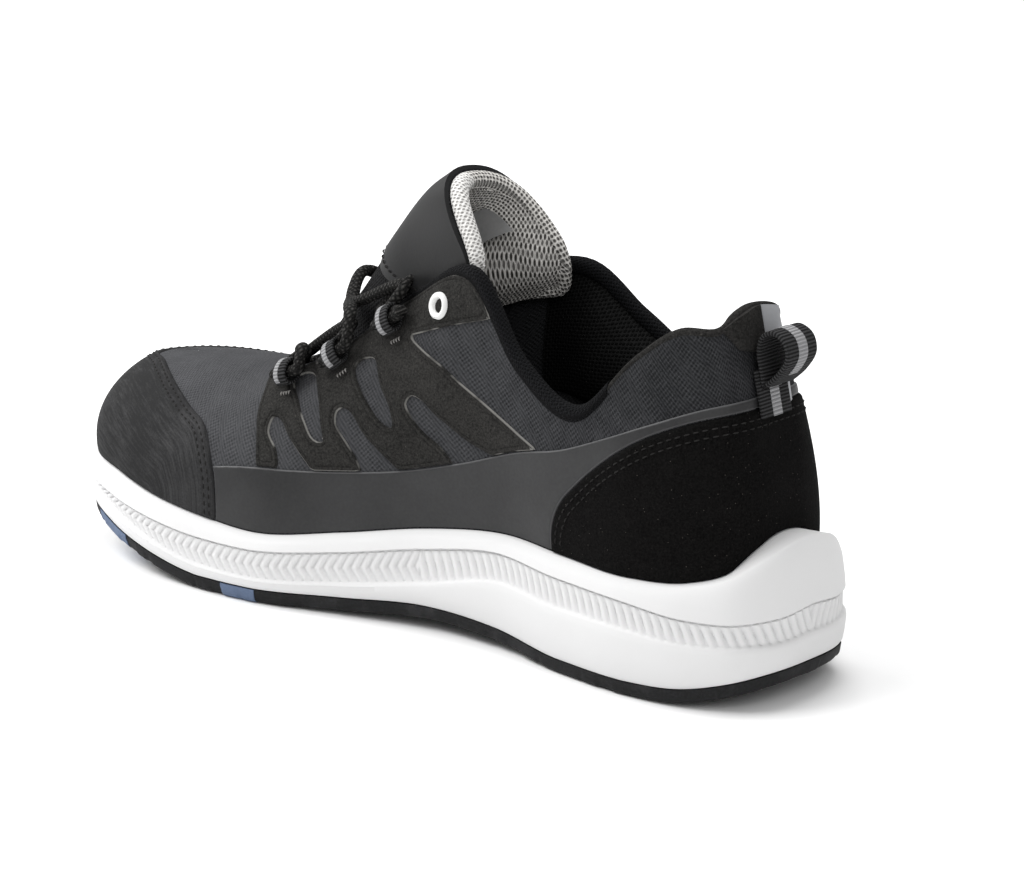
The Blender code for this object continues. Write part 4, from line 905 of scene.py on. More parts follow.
def buildCounter():
    counter = {"relief": ((0.0, 0.0002), (0.0004, 0.0010), (0.0012, 0.0014)), "rows": (0.0028, 0.0052)}
    sheet = shellSheet(-rowStation[7], rowStation[7])
    sheet = edgeField(sheet, outlineDistance(sideOf(sheet), counterArea))
    addPatch("heelCounter", sheet, counter["relief"], counterSuede, "heel_counter")
    paths = [p for d in counter["rows"] for p in levelPaths(sheet, d)]
    addStitches("counterStitches", paths, {"long": 0.0021, "pause": 0.0008, "radius": 0.00026, "lift": 0.0014},
                blackThread, "heel_counter")


def buildSide(side, name):
    overlap = 0.0003  # each overlay ends this far from the one on top of it
    relief = {"film": ((0.0, 0.0002), (0.0003, 0.0006), (0.0008, 0.0007)),
              "stay": ((0.0, 0.0002), (0.0005, 0.0010), (0.0012, 0.00105), (0.0016, 0.0008), (0.0020, 0.0012))}
    first, last = (0, rowStation[ridgeRow]) if side > 0 else (stations - rowStation[ridgeRow], stations)
    film, stay = shellSheet(first, last), shellSheet(first, last)
    spots = sideOf(film)
    flat = np.minimum(outlineDistance(spots, underFilm), -outlineDistance(spots, counterArea) - overlap)
    flat = np.minimum(flat, -outlineDistance(film["point"][:, :2], capArea) - overlap)
    addPatch("sideFilm" + name, edgeField(film, flat), relief["film"], weldedFilm, "side_film_" + name.lower())
    flat = np.minimum(outlineDistance(spots, suedeArea), -outlineDistance(spots, underFilm) - overlap)
    for line in windowLines:
        flat = np.minimum(flat, -outlineDistance(spots, line))
    run = ribRun[:, np.arange(first, last + 1) % stations]
    flat = np.minimum(flat, (run[-1] - run).reshape(-1) - 0.0022)  # leaves the throat's and the collar's rim free
    addPatch("eyestay" + name, edgeField(stay, flat), relief["stay"], staySuede, "eyestay_" + name.lower())


buildCap()
buildCounter()
buildSide(1, "Near")
buildSide(-1, "Far")
print("overlays")


# Collar

def buildCollar():
    collar = {"roll": (0.0026, 0.0026), "pipe": (0.0019, 0.0013), "step": 2}
    low, ear = rowStation[4] + 8, rowStation[8] + 6
    for name, first, last, kind, material in (
            ("collarRollNear", low, ear, "roll", collarKnit),
            ("collarRollFar", stations - ear, stations - low, "roll", collarKnit),
            ("heelPiping", -low - 4, low + 4, "pipe", blackSuede)):
        pick = np.arange(first, last + 1, collar["step"]) % stations
        outward, up = unit(shellNormals[-1, pick]), unit(shellPoints[-1, pick] - shellPoints[-4, pick])
        wide, high = collar[kind]
        middle = shellPoints[-1, pick] - outward * (shoe["wall"] * 0.55 + wide * 0.25) - up * high * 0.35
        profile = [roundProfile(wide, high * 1.15, 16, 2.3)] * len(middle)
        addSweep(name, middle, list(zip(outward, up)), profile, material, "collar_cuff")


def buildLining():
    lining = {"thick": 0.0050, "thin": 0.0008, "from": 0.40, "to": 0.995, "rows": 34, "past": 6, "fade": 14}
    reach = rowStation[7] + lining["past"]
    pick = np.arange(-reach, reach + 1) % stations
    index = (np.linspace(lining["from"], lining["to"], lining["rows"]) * shoe["ribSteps"]).astype(int)
    base, normal = shellPoints[index][:, pick], shellNormals[index][:, pick]
    t = np.linspace(0, 1, lining["rows"])[:, None, None]
    swell = np.sin(np.clip(t * 1.12, 0, 1) * math.pi) ** 0.6 * lining["thick"] + lining["thin"]
    ends = np.minimum(np.arange(len(pick)), np.arange(len(pick))[::-1]) / lining["fade"]
    swell = swell * np.clip(ends, 0.15, 1.0)[None, :, None]
    inner = base - normal * (shoe["wall"] + shoe["gap"])
    outer = inner - normal * swell
    uv = shellUv[index][:, pick].reshape(-1, 2)
    made = addMesh("collarLining", np.vstack([outer.reshape(-1, 3), inner.reshape(-1, 3)]),
                   twoFaces(*inner.shape[:2]), liningKnit, "collar_lining", uv=np.vstack([uv, uv]))


def buildHeelTab():
    # pale panel, the napped ear beside it and the webbing strap down to the counter; outlines in (y, z)
    tab = {"heelPanel": ((-0.0095, 0.090), (-0.0095, 0.1240), (-0.0010, 0.1240), (-0.0010, 0.090)),
           "heelEar": ((-0.0016, 0.1070), (-0.0016, 0.1250), (0.0165, 0.1250), (0.0172, 0.1180), (0.0120, 0.1105)),
           "front": -0.10, "strapLow": 0.0880, "strapHigh": 0.1035, "strapWide": 0.0150, "strapThick": 0.0012,
           "strapAcross": 0.0010}
    for name, relief, finish, slot, hides in (
            ("heelPanel", ((0.0, 0.0003), (0.0004, 0.0009), (0.0010, 0.0011)), panelSkin, "heel_panel", True),
            ("heelEar", ((0.0, 0.0002), (0.0006, 0.0013), (0.0014, 0.0018)), blackSuede, "collar_cuff", False)):
        sheet = shellSheet(-rowStation[3], rowStation[3])
        flat = outlineDistance(sheet["point"][:, 1:], tab[name])
        sheet = edgeField(sheet, np.where(sheet["point"][:, 0] < tab["front"], flat, -0.05))
        addPatch(name, sheet, relief, finish, slot, hides)
    line, out = shellPoints[:, 0], shellNormals[:, 0]
    pick = (line[:, 2] > tab["strapLow"]) & (line[:, 2] < tab["strapHigh"])
    path = line[pick] + out[pick] * 0.0022 + (0.0, tab["strapAcross"], 0.0)
    addStrip("heelStrap", path, sideways, tab["strapWide"], tab["strapThick"], pullWebbing, "pull_loop", False, False)
    addStrip("heelStrapTape", path + out[pick] * (tab["strapThick"] / 2 + 0.0001), sideways, tab["strapWide"] * 0.30,
             0.00025, reflectTape, "pull_loop", False, False)


buildCollar()
buildLining()
print("collar")


# Tongue

tongueNames = ("along", "height", "row", "hold", "round")
tongueRows = (
    (0.765, 0.585, 11.5, 0.85, 1.6),
    (0.722, 0.570, 10.8, 0.90, 1.6),
    (0.692, 0.630, 10.1, 1.00, 1.6),
    (0.660, 0.815, 9.4, 1.00, 1.6),
    (0.625, 0.950, 8.8, 1.00, 1.6),
    (0.580, 1.115, 8.2, 1.00, 1.8),
    (0.530, 1.258, 7.7, 1.00, 2.2),
    (0.477, 1.345, 7.2, 1.00, 2.6),
)
tongueTable = columnsOf(tongueNames, tongueRows)
tongue = {"tuck": 0.14, "clear": 0.0016, "shift": -0.0035, "thick": 0.0060, "rows": 90, "across": 49}


def tongueCrest(k):
    knots = np.arange(len(tongueRows), dtype=float)
    crest = np.stack([alongSole(tongueTable["along"]), tongue["shift"] * np.minimum(knots / 4, 1.0),
                      tongueTable["height"] * shoe["instepHeight"]], axis=1)
    return smoothCurve(knots, crest, np.atleast_1d(k))


def shellSpot(row, share, side, depth):
    # a point under the upper's outer face, and the rib's direction there
    station = np.interp(row, np.arange(len(soleRows)), rowStation)
    low = int(station)
    part = station - low
    k = min(int(share * shoe["ribSteps"]), shoe["ribSteps"] - 1)
    t = share * shoe["ribSteps"] - k
    ends = []
    for i in (low, low + 1):
        i = i % stations if side > 0 else (stations - i) % stations
        point = shellPoints[k, i] * (1 - t) + shellPoints[k + 1, i] * t
        ends.append((point, shellNormals[k, i], unit(shellPoints[k + 1, i] - shellPoints[k, i])))
    point, normal, along = (ends[0][n] * (1 - part) + ends[1][n] * part for n in range(3))
    return point - unit(normal) * depth, unit(along), unit(normal)


def tongueArch(k, turns):
    # legs under each side of the throat, and the arch between them at the wanted turns
    row, hold, power = (smoothCurve(np.arange(len(tongueRows)), tongueTable[n], [k])[0]
                        for n in ("row", "hold", "round"))
    hold = min(hold, 1.0)
    depth = shoe["wall"] + tongue["clear"]
    legs, springs = [], []
    for side in (1, -1):
        legs.append([shellSpot(row, hold - tongue["tuck"] * d, side, depth + 0.001 * d)[0]
                     for d in np.linspace(1, 0, 7)])
        spring, along, _ = shellSpot(row, hold, side, depth)
        springs.append(spring + along * tongue["thick"] * 0.35)
    crest = tongueCrest(k)[0]
    middle = (springs[0] + springs[1]) / 2
    arch = []
    for angle in turns:
        wide = math.sin(angle * math.pi / 2)
        rise = (1 - abs(wide) ** power) ** (1 / power)
        arch.append(middle + (springs[0] - middle) * wide + (crest - middle) * rise)
    return legs, arch


def tongueSection(k):
    legs, arch = tongueArch(k, np.linspace(1, -1, 41))
    whole = np.array(legs[0] + arch + legs[1][::-1])
    reach = runAlong(whole)
    even = np.linspace(0, reach[-1], tongue["across"])
    return np.column_stack([np.interp(even, reach, whole[:, n]) for n in range(3)])


tongueK = np.linspace(0, len(tongueRows) - 1, tongue["rows"])
tongueGrid = np.array([tongueSection(k) for k in tongueK])
for _ in range(3):
    tongueGrid[:, 1:-1] = tongueGrid[:, 1:-1] * 0.5 + (tongueGrid[:, 2:] + tongueGrid[:, :-2]) * 0.25
    tongueGrid[1:-1] = tongueGrid[1:-1] * 0.5 + (tongueGrid[2:] + tongueGrid[:-2]) * 0.25
tongueNormal = unit(np.cross(np.gradient(tongueGrid, axis=1), np.gradient(tongueGrid, axis=0)))
tongueNormal *= math.copysign(1, tongueNormal[60, 24, 0])  # so that it looks out, toward the toe
tongueUv = np.stack([gridRun(tongueGrid, 1), gridRun(tongueGrid, 0)], axis=2)
acrossShare = np.linspace(-1, 1, tongue["across"])
padThick = tongue["thick"] * np.clip(1.15 - np.abs(acrossShare) ** 3, 0.35, 1.0)[None, :]
padThick = padThick * np.interp(tongueK, [0, 3, 5, 7], [0.45, 0.7, 1.0, 1.1])[:, None]


def addSlab(name, outer, inner, uv, material, slot, hides=True):
    rows, width = outer.shape[:2]
    size = rows * width
    ring = [*range(width), *range(2 * width - 1, size, width), *range(size - 2, size - width - 1, -1),
            *range(size - 2 * width, 0, -width)]
    walls = [(a, b, b + size, a + size) for a, b in zip(ring, ring[1:] + ring[:1])]
    return addMesh(name, np.vstack([outer.reshape(-1, 3), inner.reshape(-1, 3)]), twoFaces(rows, width) + walls,
                   material, slot, hides, uv=np.vstack([uv.reshape(-1, 2)] * 2))


def buildBody():
    body = tongueGrid - tongueNormal * padThick[..., None]
    made = addSlab("tongueBody", tongueGrid, body, tongueUv, tongueKnit, "tongue")
    return body


def buildPatch():
    # the smooth outer patch, from the rim down to its stitched edge
    patch = {"margin": 4, "rows": 34, "lowest": 4.5, "dip": 1.25, "under": 0.0003, "thick": 0.0010}
    columns = np.arange(patch["margin"], tongue["across"] - patch["margin"])
    rows, width = patch["rows"], len(columns)
    lowest = patch["lowest"] + patch["dip"] * acrossShare[columns] ** 2
    spots = (lowest + (tongueK[-1] - lowest) * np.linspace(0, 1, rows)[:, None]) / tongueK[-1] * (tongue["rows"] - 1)
    low = np.minimum(spots.astype(int), tongue["rows"] - 2)
    part = (spots - low)[..., None]
    grid, normal, uv = (data[low, columns] * (1 - part) + data[low + 1, columns] * part
                        for data in (tongueGrid, tongueNormal, tongueUv))
    rowEdge = np.minimum(np.arange(rows)[:, None] / 3.0, 1.0)
    columnEdge = np.minimum(np.minimum(np.arange(width), np.arange(width)[::-1])[None, :] / 2.0, 1.0)
    puff = patch["under"] + patch["thick"] * np.minimum(rowEdge, columnEdge)
    addSlab("tonguePatch", grid + normal * puff[..., None], grid - normal * patch["under"], uv, patchSkin, "tongue",
            False)
    addStitches("tongueStitches", [(grid[2] + normal[2] * 0.0011, normal[2])],
                {"long": 0.0024, "pause": 0.0010, "radius": 0.0003, "lift": 0.0001}, blackThread, "tongue")


def buildInside(body):
    # the pale inside of the tongue's upper half
    inside = {"from": 4.2, "under": 0.0002, "thin": 0.0006, "swell": 0.0022}
    start = int(np.searchsorted(tongueK, inside["from"]))
    side = slice(1, tongue["across"] - 1)
    grid, normal = body[start:, side], tongueNormal[start:, side]
    rows, width = grid.shape[:2]
    swell = np.sin(np.linspace(0.08, 0.92, width) * math.pi)[None, :] ** 0.5
    ends = np.clip(np.arange(rows)[::-1] / 6.0, 0.2, 1.0)[:, None]
    lift = inside["thin"] + inside["swell"] * swell * ends
    made = addSlab("tongueLining", grid - normal * inside["under"], grid - normal * lift[..., None],
                   tongueUv[start:, side], paleKnit, "tongue", False)


def buildRim():
    # the rolled rim: along the top and a little way down each side
    rim = {"from": 5.6, "depth": 0.62, "spacing": 0.0012, "split": 0.46, "at": (0, 0.10, 0.30, 0.60, 0.90, 1),
           "radius": (0.0012, 0.0024, 0.0032, 0.0033, 0.0026, 0.0010)}
    down = int(np.searchsorted(tongueK, rim["from"]))
    middle = tongueGrid - tongueNormal * padThick[..., None] * rim["depth"]
    left, right = middle[down:, 1], middle[down:, -2][::-1]
    path = smoothPath(np.vstack([left[::4], middle[-1, 2:-2:3], right[::4]]), rim["spacing"])
    frames = framesAlong(path, np.array((0.0, 0.0, 1.0)))
    wide = np.interp(np.linspace(0, 1, len(path)), rim["at"], rim["radius"])
    split = int(len(path) * rim["split"])
    for name, run, finish in (("tongueRoll", slice(0, split), paleRoll),
                              ("tongueRim", slice(split - 1, None), paleKnit)):
        profile = [roundProfile(w, w * 0.95, 16) for w in wide[run]]
        addSweep(name, path[run], frames[run], profile, finish, "tongue", False)


def buildLabel():
    label = {"k": 6.55, "reach": 13, "from": 30, "to": 38, "below": 0.0032, "thick": 0.0003, "curl": 0.0035}
    start = int(np.searchsorted(tongueK, label["k"]))
    rows, side = slice(start - label["reach"], start), slice(label["from"], label["to"])
    normal = tongueNormal[rows, side]
    grid = (tongueGrid - tongueNormal * (padThick[..., None] + label["below"]))[rows, side]
    grid = grid - normal * (np.linspace(0, 1, grid.shape[1]) ** 2 * label["curl"])[None, :, None]
    addSlab("tongueLabel", grid, grid - normal * label["thick"], tongueUv[rows, side], labelSatin, "tongue", False)


tongueBack = buildBody()
buildPatch()
buildInside(tongueBack)
buildRim()
buildLabel()
print("tongue")


# Laces and loops

trim = {"laceRadius": 0.0021, "lift": 0.0034, "leave": (0.0035, 0.0080), "arrive": 0.0014, "bend": 1.0,
        "loopWidth": 0.0060, "loopBore": 0.0054, "web": 0.0010, "loops": (0.34, 0.69, 1.02), "loopShare": 0.83,
        "crests": (0.30, 0.36, 0.57), "turns": (0.45, 0.0, -0.45),
        "tuck": ((0.66, 0.88, 0.0036), (0.715, 0.84, 0.0022), (0.765, 0.80, -0.0030))}
sideways = (0.0, 1.0, 0.0)


def throatFrame(place, share, side):
    row = 10 - 2 * place
    point, rib, normal = shellSpot(row, share, side, 0.0)
    ahead = shellSpot(row - 0.05, share, side, 0.0)[0] - shellSpot(row + 0.05, share, side, 0.0)[0]
    edge = unit(ahead - normal * (ahead @ normal))
    rib = unit(rib - normal * (rib @ normal) - edge * (rib @ edge))
    return point, rib, edge, normal


def loopCentre(place, side):
    point, rib, edge, normal = throatFrame(place, trim["loopShare"], side)
    stand = shoe["suede"] + 3 * shoe["gap"] + trim["web"] + trim["loopBore"] / 2
    return point + normal * stand, rib, edge, normal


def addStrip(name, path, direction, width, thick, material, slot, hides=True, closed=True):
    # a flat strap along a path, with rounded edges
    path = np.asarray(path)
    ahead = np.roll(path, -1, axis=0) - np.roll(path, 1, axis=0) if closed else np.gradient(path, axis=0)
    across = np.asarray(direction, float)
    half = np.array([(-0.5, -0.3), (-0.46, -0.5), (0.46, -0.5), (0.5, -0.3)])
    shape = np.vstack([half, -half]) * (width, thick)
    frames = [(across, normal) for normal in unit(np.cross(ahead, across))]
    return addSweep(name, path, frames, [shape] * len(path), material, slot, hides, closed)


def ovalPath(centre, first, second, angles):
    # first, second: the oval's half axes
    return centre + np.cos(angles)[:, None] * first + np.sin(angles)[:, None] * second


def buildLoop(place, side, name, node):
    tape = {"wide": 0.34, "thick": 0.00025, "across": -0.0011, "off": 0.00058, "from": -0.50, "to": 0.98}
    tack = {"rows": 4, "apart": 0.0013, "off": 0.0008, "reach": 0.0026}
    centre, rib, edge, normal = loopCentre(place, side)
    a, b = trim["loopBore"] * 0.75 + trim["web"] / 2, trim["loopBore"] / 2 + trim["web"] / 2
    ring = ovalPath(centre, rib * a, normal * b, np.linspace(0, 2 * math.pi, 40, endpoint=False))
    addStrip(name, ring, edge, trim["loopWidth"], trim["web"], pullWebbing, node)
    arc = ovalPath(centre + edge * tape["across"], rib * (a + tape["off"]), normal * (b + tape["off"]),
                   np.linspace(tape["from"] * math.pi, tape["to"] * math.pi, 30))
    addStrip(name + "Tape", arc, edge, trim["loopWidth"] * tape["wide"], tape["thick"], reflectTape, node, False, False)
    foot = centre - normal * (b + trim["web"] * 0.2) - rib * (a + tack["off"])
    starts = [foot + edge * (k - (tack["rows"] - 1) / 2) * tack["apart"] for k in range(tack["rows"])]
    addStitches(name + "Tack", [(np.array([p, p - rib * tack["reach"]]), np.array([normal, normal])) for p in starts],
                {"long": 0.0016, "pause": 0.0003, "radius": 0.00028, "lift": 0.0}, paleThread, node)


def overTongue(share, turn, lift=None):
    # a lace's place over the tongue: a share of its length and of its arch from near to far
    k = share * (len(tongueRows) - 1)
    point = tongueArch(k, (turn,))[1][0]
    ahead = tongueArch(k + 0.05, (turn,))[1][0] - point
    across = tongueArch(k, (turn + 0.05,))[1][0] - point
    out = unit(np.cross(ahead, across))
    return point + (out if out[2] > 0 else -out) * (trim["lift"] if lift is None else lift)


def laceRoute(start):
    route, side = [], start
    for k, place in enumerate(trim["loops"]):
        centre, _, edge, normal = loopCentre(place, side)
        run = edge * trim["loopWidth"] * 0.7
        bend = edge * trim["loopWidth"] * trim["bend"] + normal * shoe["gap"]
        turns = trim["turns"][1:] if k == 0 else trim["turns"]
        route += [overTongue(trim["crests"][k], -side * t) for t in turns]
        rim, _, rimEdge, out = throatFrame(place, 1.0, side)
        stand = trim["laceRadius"] + shoe["suede"] + trim["arrive"]
        route.append(rim - rimEdge * trim["loopWidth"] * trim["bend"] / 2 + out * stand)
        route += [centre - bend, centre - run, centre + run, centre + bend]
        if k < len(trim["loops"]) - 1:
            route.append(centre + bend + np.array((0.0, -side * 0.25, 1.0)) * trim["leave"][k])
            side = -side
    for share, turn, lift in trim["tuck"]:
        route.append(overTongue(share, side * turn, lift))
    return route


def buildLaces():
    for start, name in ((1, "laceFirst"), (-1, "laceSecond")):
        path = smoothPath(laceRoute(start), 0.0011)
        frames = framesAlong(path, np.array((0.5, 0.0, 0.86)))
        wobble = 1 + 0.06 * np.sin(np.arange(len(path)) * 0.9)
        profile = [roundProfile(trim["laceRadius"] * 1.12 * w, trim["laceRadius"] * 0.92) for w in wobble]
        addSweep(name, path, frames, profile, laceBraid, "lace")


def buildEyelet(side, name):
    ring = {"place": 1.36, "share": 0.84, "outer": 0.0045, "bore": 0.0023, "thick": 0.0014, "lift": 0.0002,
            "shape": ((1.0, 0.0), (0.85, 0.6), (0.3, 0.95), (-0.3, 0.9), (-0.8, 0.45), (-1.0, -0.4))}
    point, rib, edge, normal = throatFrame(ring["place"], ring["share"], side)
    seat = point + normal * (shoe["suede"] + ring["lift"])
    middle, wide = (ring["outer"] + ring["bore"]) / 2, (ring["outer"] - ring["bore"]) / 2
    angles = np.linspace(0, 2 * math.pi, 48, endpoint=False)
    path = ovalPath(seat, rib * middle, edge * middle, angles)
    frames = [(rib * math.cos(t) + edge * math.sin(t), normal) for t in angles]
    shape = np.array(ring["shape"]) * (wide, ring["thick"])
    addSweep("eyelet" + name, path, frames, [shape] * len(path), eyeletWhite, "eyelet_" + name.lower(), closed=True)


def buildPull():
    pull = {"low": 0.655, "high": 0.875, "width": 0.0150, "thick": 0.0016, "stand": 0.0030,
            "shape": ((0.00, 0.00), (0.35, 0.00), (0.75, 0.02), (1.00, 0.16), (1.06, 0.42), (0.86, 0.68),
                      (0.55, 0.70), (0.24, 0.42), (0.06, 0.12)),
            "tapeShare": 0.86, "tapeWide": 0.30, "tapeThick": 0.00025}
    low, high = (shellPoints[int(round(pull[k] * shoe["ribSteps"])), 0] for k in ("low", "high"))
    up, reach = unit(high - low), np.linalg.norm(high - low)
    out = np.array((-up[2], 0.0, up[0]))
    foot = low + out * (pull["stand"] + pull["thick"] / 2)
    line = [foot + up * reach * a + out * reach * b for a, b in pull["shape"]]
    ring = smoothPath(line + line[:1], 0.0007)[:-1]
    addStrip("pullLoop", ring, sideways, pull["width"], pull["thick"], pullWebbing, "pull_loop")
    run = ring[:int(len(ring) * pull["tapeShare"])]
    tape = run + unit(run - ring.mean(axis=0)) * (pull["thick"] / 2 + 0.00012)
    addStrip("pullTape", tape, sideways, pull["width"] * pull["tapeWide"], pull["tapeThick"], reflectTape,
             "pull_loop", False, False)


for side, sideName in ((1, "near"), (-1, "far")):
    for k, place in enumerate(trim["loops"]):
        buildLoop(place, side, f"loop{sideName.title()}{k + 1}", f"lace_loop_{sideName}_{k + 1}")
    buildEyelet(side, sideName.title())
buildLaces()
buildPull()
buildHeelTab()
print("laces")


# Sole

def soleHeights(at):
    under = np.maximum(soleColumn("lift", at), 0.0) * shoe["toeSpring"]
    return under, under + shoe["outsoleBand"], soleColumn("feather", at) * shoe["heelStack"]


def ringsAt(rings, at):
    # rings: pairs of offset from the outline and height
    return np.array([np.column_stack([outlineAt(offset, at)[0], z]) for offset, z in rings])


def buildMidsole():
    mid = {"pitch": 0.0034, "perRib": 9, "ribDepth": 0.0010, "ribRows": 9, "step": 0.0009, "lip": 0.0007,
           "chevron": 0.0030, "foot": ((0.0004, 0.14), (0.0010, 0.45), (0.0014, 0.80)),
           "wall": ((0.0006, 0.25), (0.0001, 0.5), (-0.0005, 0.75), (-0.0014, 0.92)), "wallLow": 0.0009,
           "edge": (-0.0022, -0.0030), "edgeDrop": 0.0006}
    ribs = int(turn / mid["pitch"])
    at = np.arange(ribs * mid["perRib"]) * turn / (ribs * mid["perRib"])
    none = np.zeros_like(at)
    _, joint, top = soleHeights(at)
    low, high, side = soleColumn("low", at), soleColumn("high", at), top - joint
    lowZ, highZ = joint + low * side, joint + high * side
    x = around(outlineRows[:, 0], at)
    forward = np.where(at < turn / 2, 1.0, -1.0)  # places run to the toe on the near side and back on the far side
    chevron = np.clip((x + 0.030) / 0.030, 0, 1)
    taper = np.clip((0.142 - x) / 0.020, 0, 1)
    rings = [(none - 0.0004, joint + shoe["gap"])]
    rings += [(none + offset, joint + share * low * side) for offset, share in mid["foot"]]
    rings += [(none + mid["step"] + 0.0003, lowZ - 0.0012), (none + mid["step"] - 0.0002, lowZ - 0.0004)]
    deep = [none] * len(rings)
    for v in np.linspace(0, 1, mid["ribRows"]):
        lead = np.where(chevron > 0.5, 1 - abs(2 * v - 1), v) * mid["chevron"]
        groove = (0.5 - 0.5 * np.cos((at - forward * lead) * 2 * math.pi * ribs / turn)) ** 3.0
        inner = np.sin(math.pi * min(max(v, 0.06), 0.94)) ** 0.4
        rings.append((-mid["ribDepth"] * groove * taper * inner + 0.0001, lowZ * (1 - v) + highZ * v))
        # deep marks the grooves, which the foam's finish darkens as painted shade
        deep.append(groove * taper)
    rings += [(none + offset, highZ + rise) for offset, rise in ((-0.0006, 0.0002), (-0.0005, 0.0005),
                                                                 (mid["step"], 0.0011))]
    wall = top - highZ - mid["wallLow"] - mid["lip"] - 0.0010
    rings += [(none + offset, highZ + mid["wallLow"] + wall * share) for offset, share in mid["wall"]]
    inset, lip = shoe["gap"] - insetAt(at), top - mid["lip"]
    rings += [(none + mid["edge"][0], lip - mid["edgeDrop"]), (none + mid["edge"][1], lip), (inset, lip),
              (inset, soleColumn("bed", at) * shoe["footBed"])]
    deep += [none] * (len(rings) - len(deep))
    grid, count = ringsAt(rings, at), len(at)
    faces = [*gridFaces(len(rings), count, True), *(quad[::-1] for quad in lidFaces(0, count)),
             *lidFaces((len(rings) - 1) * count, count)]
    uv = np.stack([np.broadcast_to(at, grid.shape[:2]), grid[..., 2]], axis=2).reshape(-1, 2)
    addMesh("midsoleFoam", grid.reshape(-1, 3), faces, whiteFoam, "midsole", uv=uv,
            layers={"deep": np.concatenate(deep)}, turned=True, smooth=60)


def treadHeight(x, y):
    # the tread's grooves as a height over the lugs' plane: wavy bars across the sole and lanes along it
    tread = {"pitch": 0.0165, "lane": 0.030, "wave": 0.004, "waveLength": 0.0085, "deep": 0.0022}
    bars = np.abs((x + tread["wave"] * np.sin(y / tread["waveLength"])) / tread["pitch"] % 1.0 - 0.5) * 2
    lanes = np.abs((y + 0.001) / tread["lane"] % 1.0 - 0.5) * 2
    return tread["deep"] * np.maximum(np.clip((0.26 - bars) / 0.10, 0, 1), np.clip((0.09 - lanes) / 0.05, 0, 1))


def buildOutsole():
    out = {"across": 96, "fineness": 16, "notch": 0.00045, "notches": 180, "notched": (1, 2, 3), "rim": 0.003,
           "levels": ((-0.0022, 0.0), (-0.0012, 0.0004), (-0.0006, 0.0012), (-0.0003, 0.0022), (-0.0001, 0.0036),
                      (0.0, 0.0044), (0.0, 0.0048))}
    at = placesFor(out["fineness"])
    count = len(at)
    under, joint, _ = soleHeights(at)
    random.seed(5)
    rough = np.array([random.random() for _ in range(out["notches"])])
    rough[-1] = rough[0]
    rough = np.interp(at, np.linspace(0, turn, out["notches"]), rough)
    notch = np.clip((rough - 0.62) / 0.1, 0, 1) * out["notch"]
    grid = ringsAt([(offset - notch * (1.0 if k in out["notched"] else 0.2), np.minimum(under + lift, joint))
                    for k, (offset, lift) in enumerate(out["levels"])], at)
    faces = [*gridFaces(len(grid), count, True), *lidFaces((len(grid) - 1) * count, count)]
    # the tread: lines across from each near place to its far partner
    tread, t, wide = acrossGrid(grid[0], out["across"])
    inside = np.minimum(np.minimum(t, 1 - t) * wide / out["rim"], 1)
    tread[..., 2] += treadHeight(tread[..., 0], tread[..., 1]) * inside
    points = np.vstack([grid.reshape(-1, 3), tread.reshape(-1, 3)])
    faces += [*(gridFaces(len(tread), out["across"], False)[:, ::-1] + grid.size // 3)]
    addMesh("outsoleRubber", points, faces, charcoalRubber, "outsole", uv=points[:, :2], turned=True)
    return grid, at


def buildInserts(grid, at):
    # thin blue pieces let into the outsole's near edge
    insert = {"outward": 0.00035, "below": 0.00012, "reach": 0.013, "thick": 0.0008, "rise": 0.0009,
              "outsole_insert_toe": ("insertToe", 0.885, 0.0095),
              "outsole_insert_ball": ("insertBall", 0.674, 0.0070)}
    for node in ("outsole_insert_toe", "outsole_insert_ball"):
        name, centre, halfLong = insert[node]
        pick = [i for i in range(len(at) // 2) if abs(grid[0][i][0] - alongSole(centre)) < halfLong]
        outward = outlineAt(0.0, at[pick])[1] * insert["outward"]
        strip = grid[:, pick] + np.column_stack([outward, np.zeros(len(pick))])
        bottom = strip[0] - (0.0, 0.0, insert["below"])
        strip = np.concatenate([[bottom - (0.0, insert["reach"], 0.0), bottom], strip[1:]])
        back = strip - (0.0, insert["thick"], 0.0)
        back[:2, :, 2] += insert["rise"]
        addSlab(name, strip, back, strip[..., :2], blueRubber, node)


def buildBed():
    bed = {"thick": 0.0040, "across": 24, "cup": 0.0014, "sink": 0.0004}
    plan, _ = outlineAt(-insetAt(places) - shoe["wall"] - shoe["gap"], places)
    rim = np.column_stack([plan, soleColumn("bed", places) * shoe["footBed"] + shoe["gap"]])
    flat, t, _ = acrossGrid(rim, bed["across"])
    top = flat.copy()
    top[..., 2] += bed["thick"] - bed["sink"] + np.abs(2 * t - 1) ** 4 * bed["cup"]
    addSlab("footBed", top, flat, flat[..., :2], bedKnit, "insole")


buildMidsole()
outsoleGrid, outsoleAt = buildOutsole()
buildInserts(outsoleGrid, outsoleAt)
buildBed()
print("sole")


# Floor, light and camera

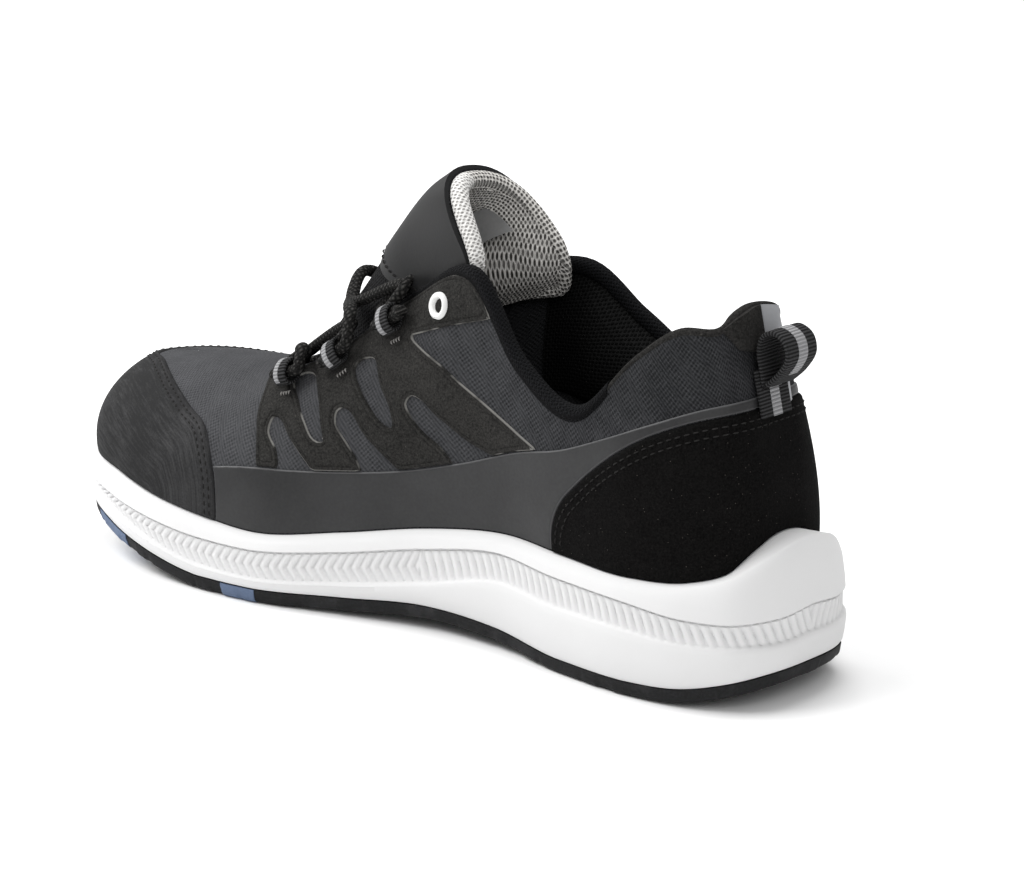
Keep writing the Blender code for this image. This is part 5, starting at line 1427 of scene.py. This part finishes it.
def buildStage():
    stage = {"reach": 6.0, "floor": (0.93, 0.93, 0.93), "matt": 0.9, "world": 0.54, "aim": (0, 0, 0.05)}
    bpy.ops.mesh.primitive_plane_add(size=stage["reach"], location=(0, 0, -0.0002))
    floor = bpy.context.object
    floor.name = "floor"
    paper = Finish("paper")
    paper.paint((*stage["floor"], 1.0), stage["matt"])
    floor.data.materials.append(paper.material)
    world = bpy.data.worlds.new("studio")
    bpy.context.scene.world = world
    world.use_nodes = True
    sky = world.node_tree.nodes["Background"]
    sky.inputs["Color"].default_value = (1, 1, 1, 1)
    sky.inputs["Strength"].default_value = stage["world"]
    bpy.context.scene.view_settings.view_transform = "Standard"
    lights = (
        ("keyLight", (0.75, 0.75, 1.35), 1.0, 19.0),
        ("toeLight", (1.3, 0.10, 0.8), 0.8, 10.0),
        ("rearLight", (-1.0, 0.7, 0.9), 0.7, 4.0),
        ("topLight", (0.1, -0.4, 1.6), 0.9, 12.0),
    )
    for name, place, size, watts in lights:
        lamp = bpy.data.lights.new(name, "AREA")
        lamp.size = size
        lamp.energy = watts
        made = bpy.data.objects.new(name, lamp)
        made.location = place
        made.rotation_euler = (Vector(stage["aim"]) - Vector(place)).to_track_quat("-Z", "Y").to_euler()
        bpy.context.scene.collection.objects.link(made)


def buildCamera():
    view = {"turn": 41.3, "rise": 16.2, "distance": 1.300, "focal": 3897.0, "across": -62.2, "down": 12.3,
            "width": 1024, "sensor": 36.0, "aim": 0.050}
    a, e = math.radians(view["turn"]), math.radians(view["rise"])
    back = Vector((-math.sin(a) * math.cos(e), math.cos(a) * math.cos(e), math.sin(e)))
    camera = bpy.data.cameras.new("camera")
    camera.sensor_width = view["sensor"]
    camera.lens = view["focal"] / view["width"] * view["sensor"]
    camera.shift_x = -view["across"] / view["width"]
    camera.shift_y = view["down"] / view["width"]
    made = bpy.data.objects.new("camera", camera)
    made.location = Vector((0, shiftY, view["aim"])) + back * view["distance"]
    right = (-back).cross(Vector((0, 0, 1))).normalized()
    up = right.cross(-back).normalized()
    made.rotation_euler = Matrix((right, up, back)).transposed().to_euler()
    bpy.context.scene.collection.objects.link(made)
    bpy.context.scene.camera = made


buildStage()
buildCamera()
print("stage")
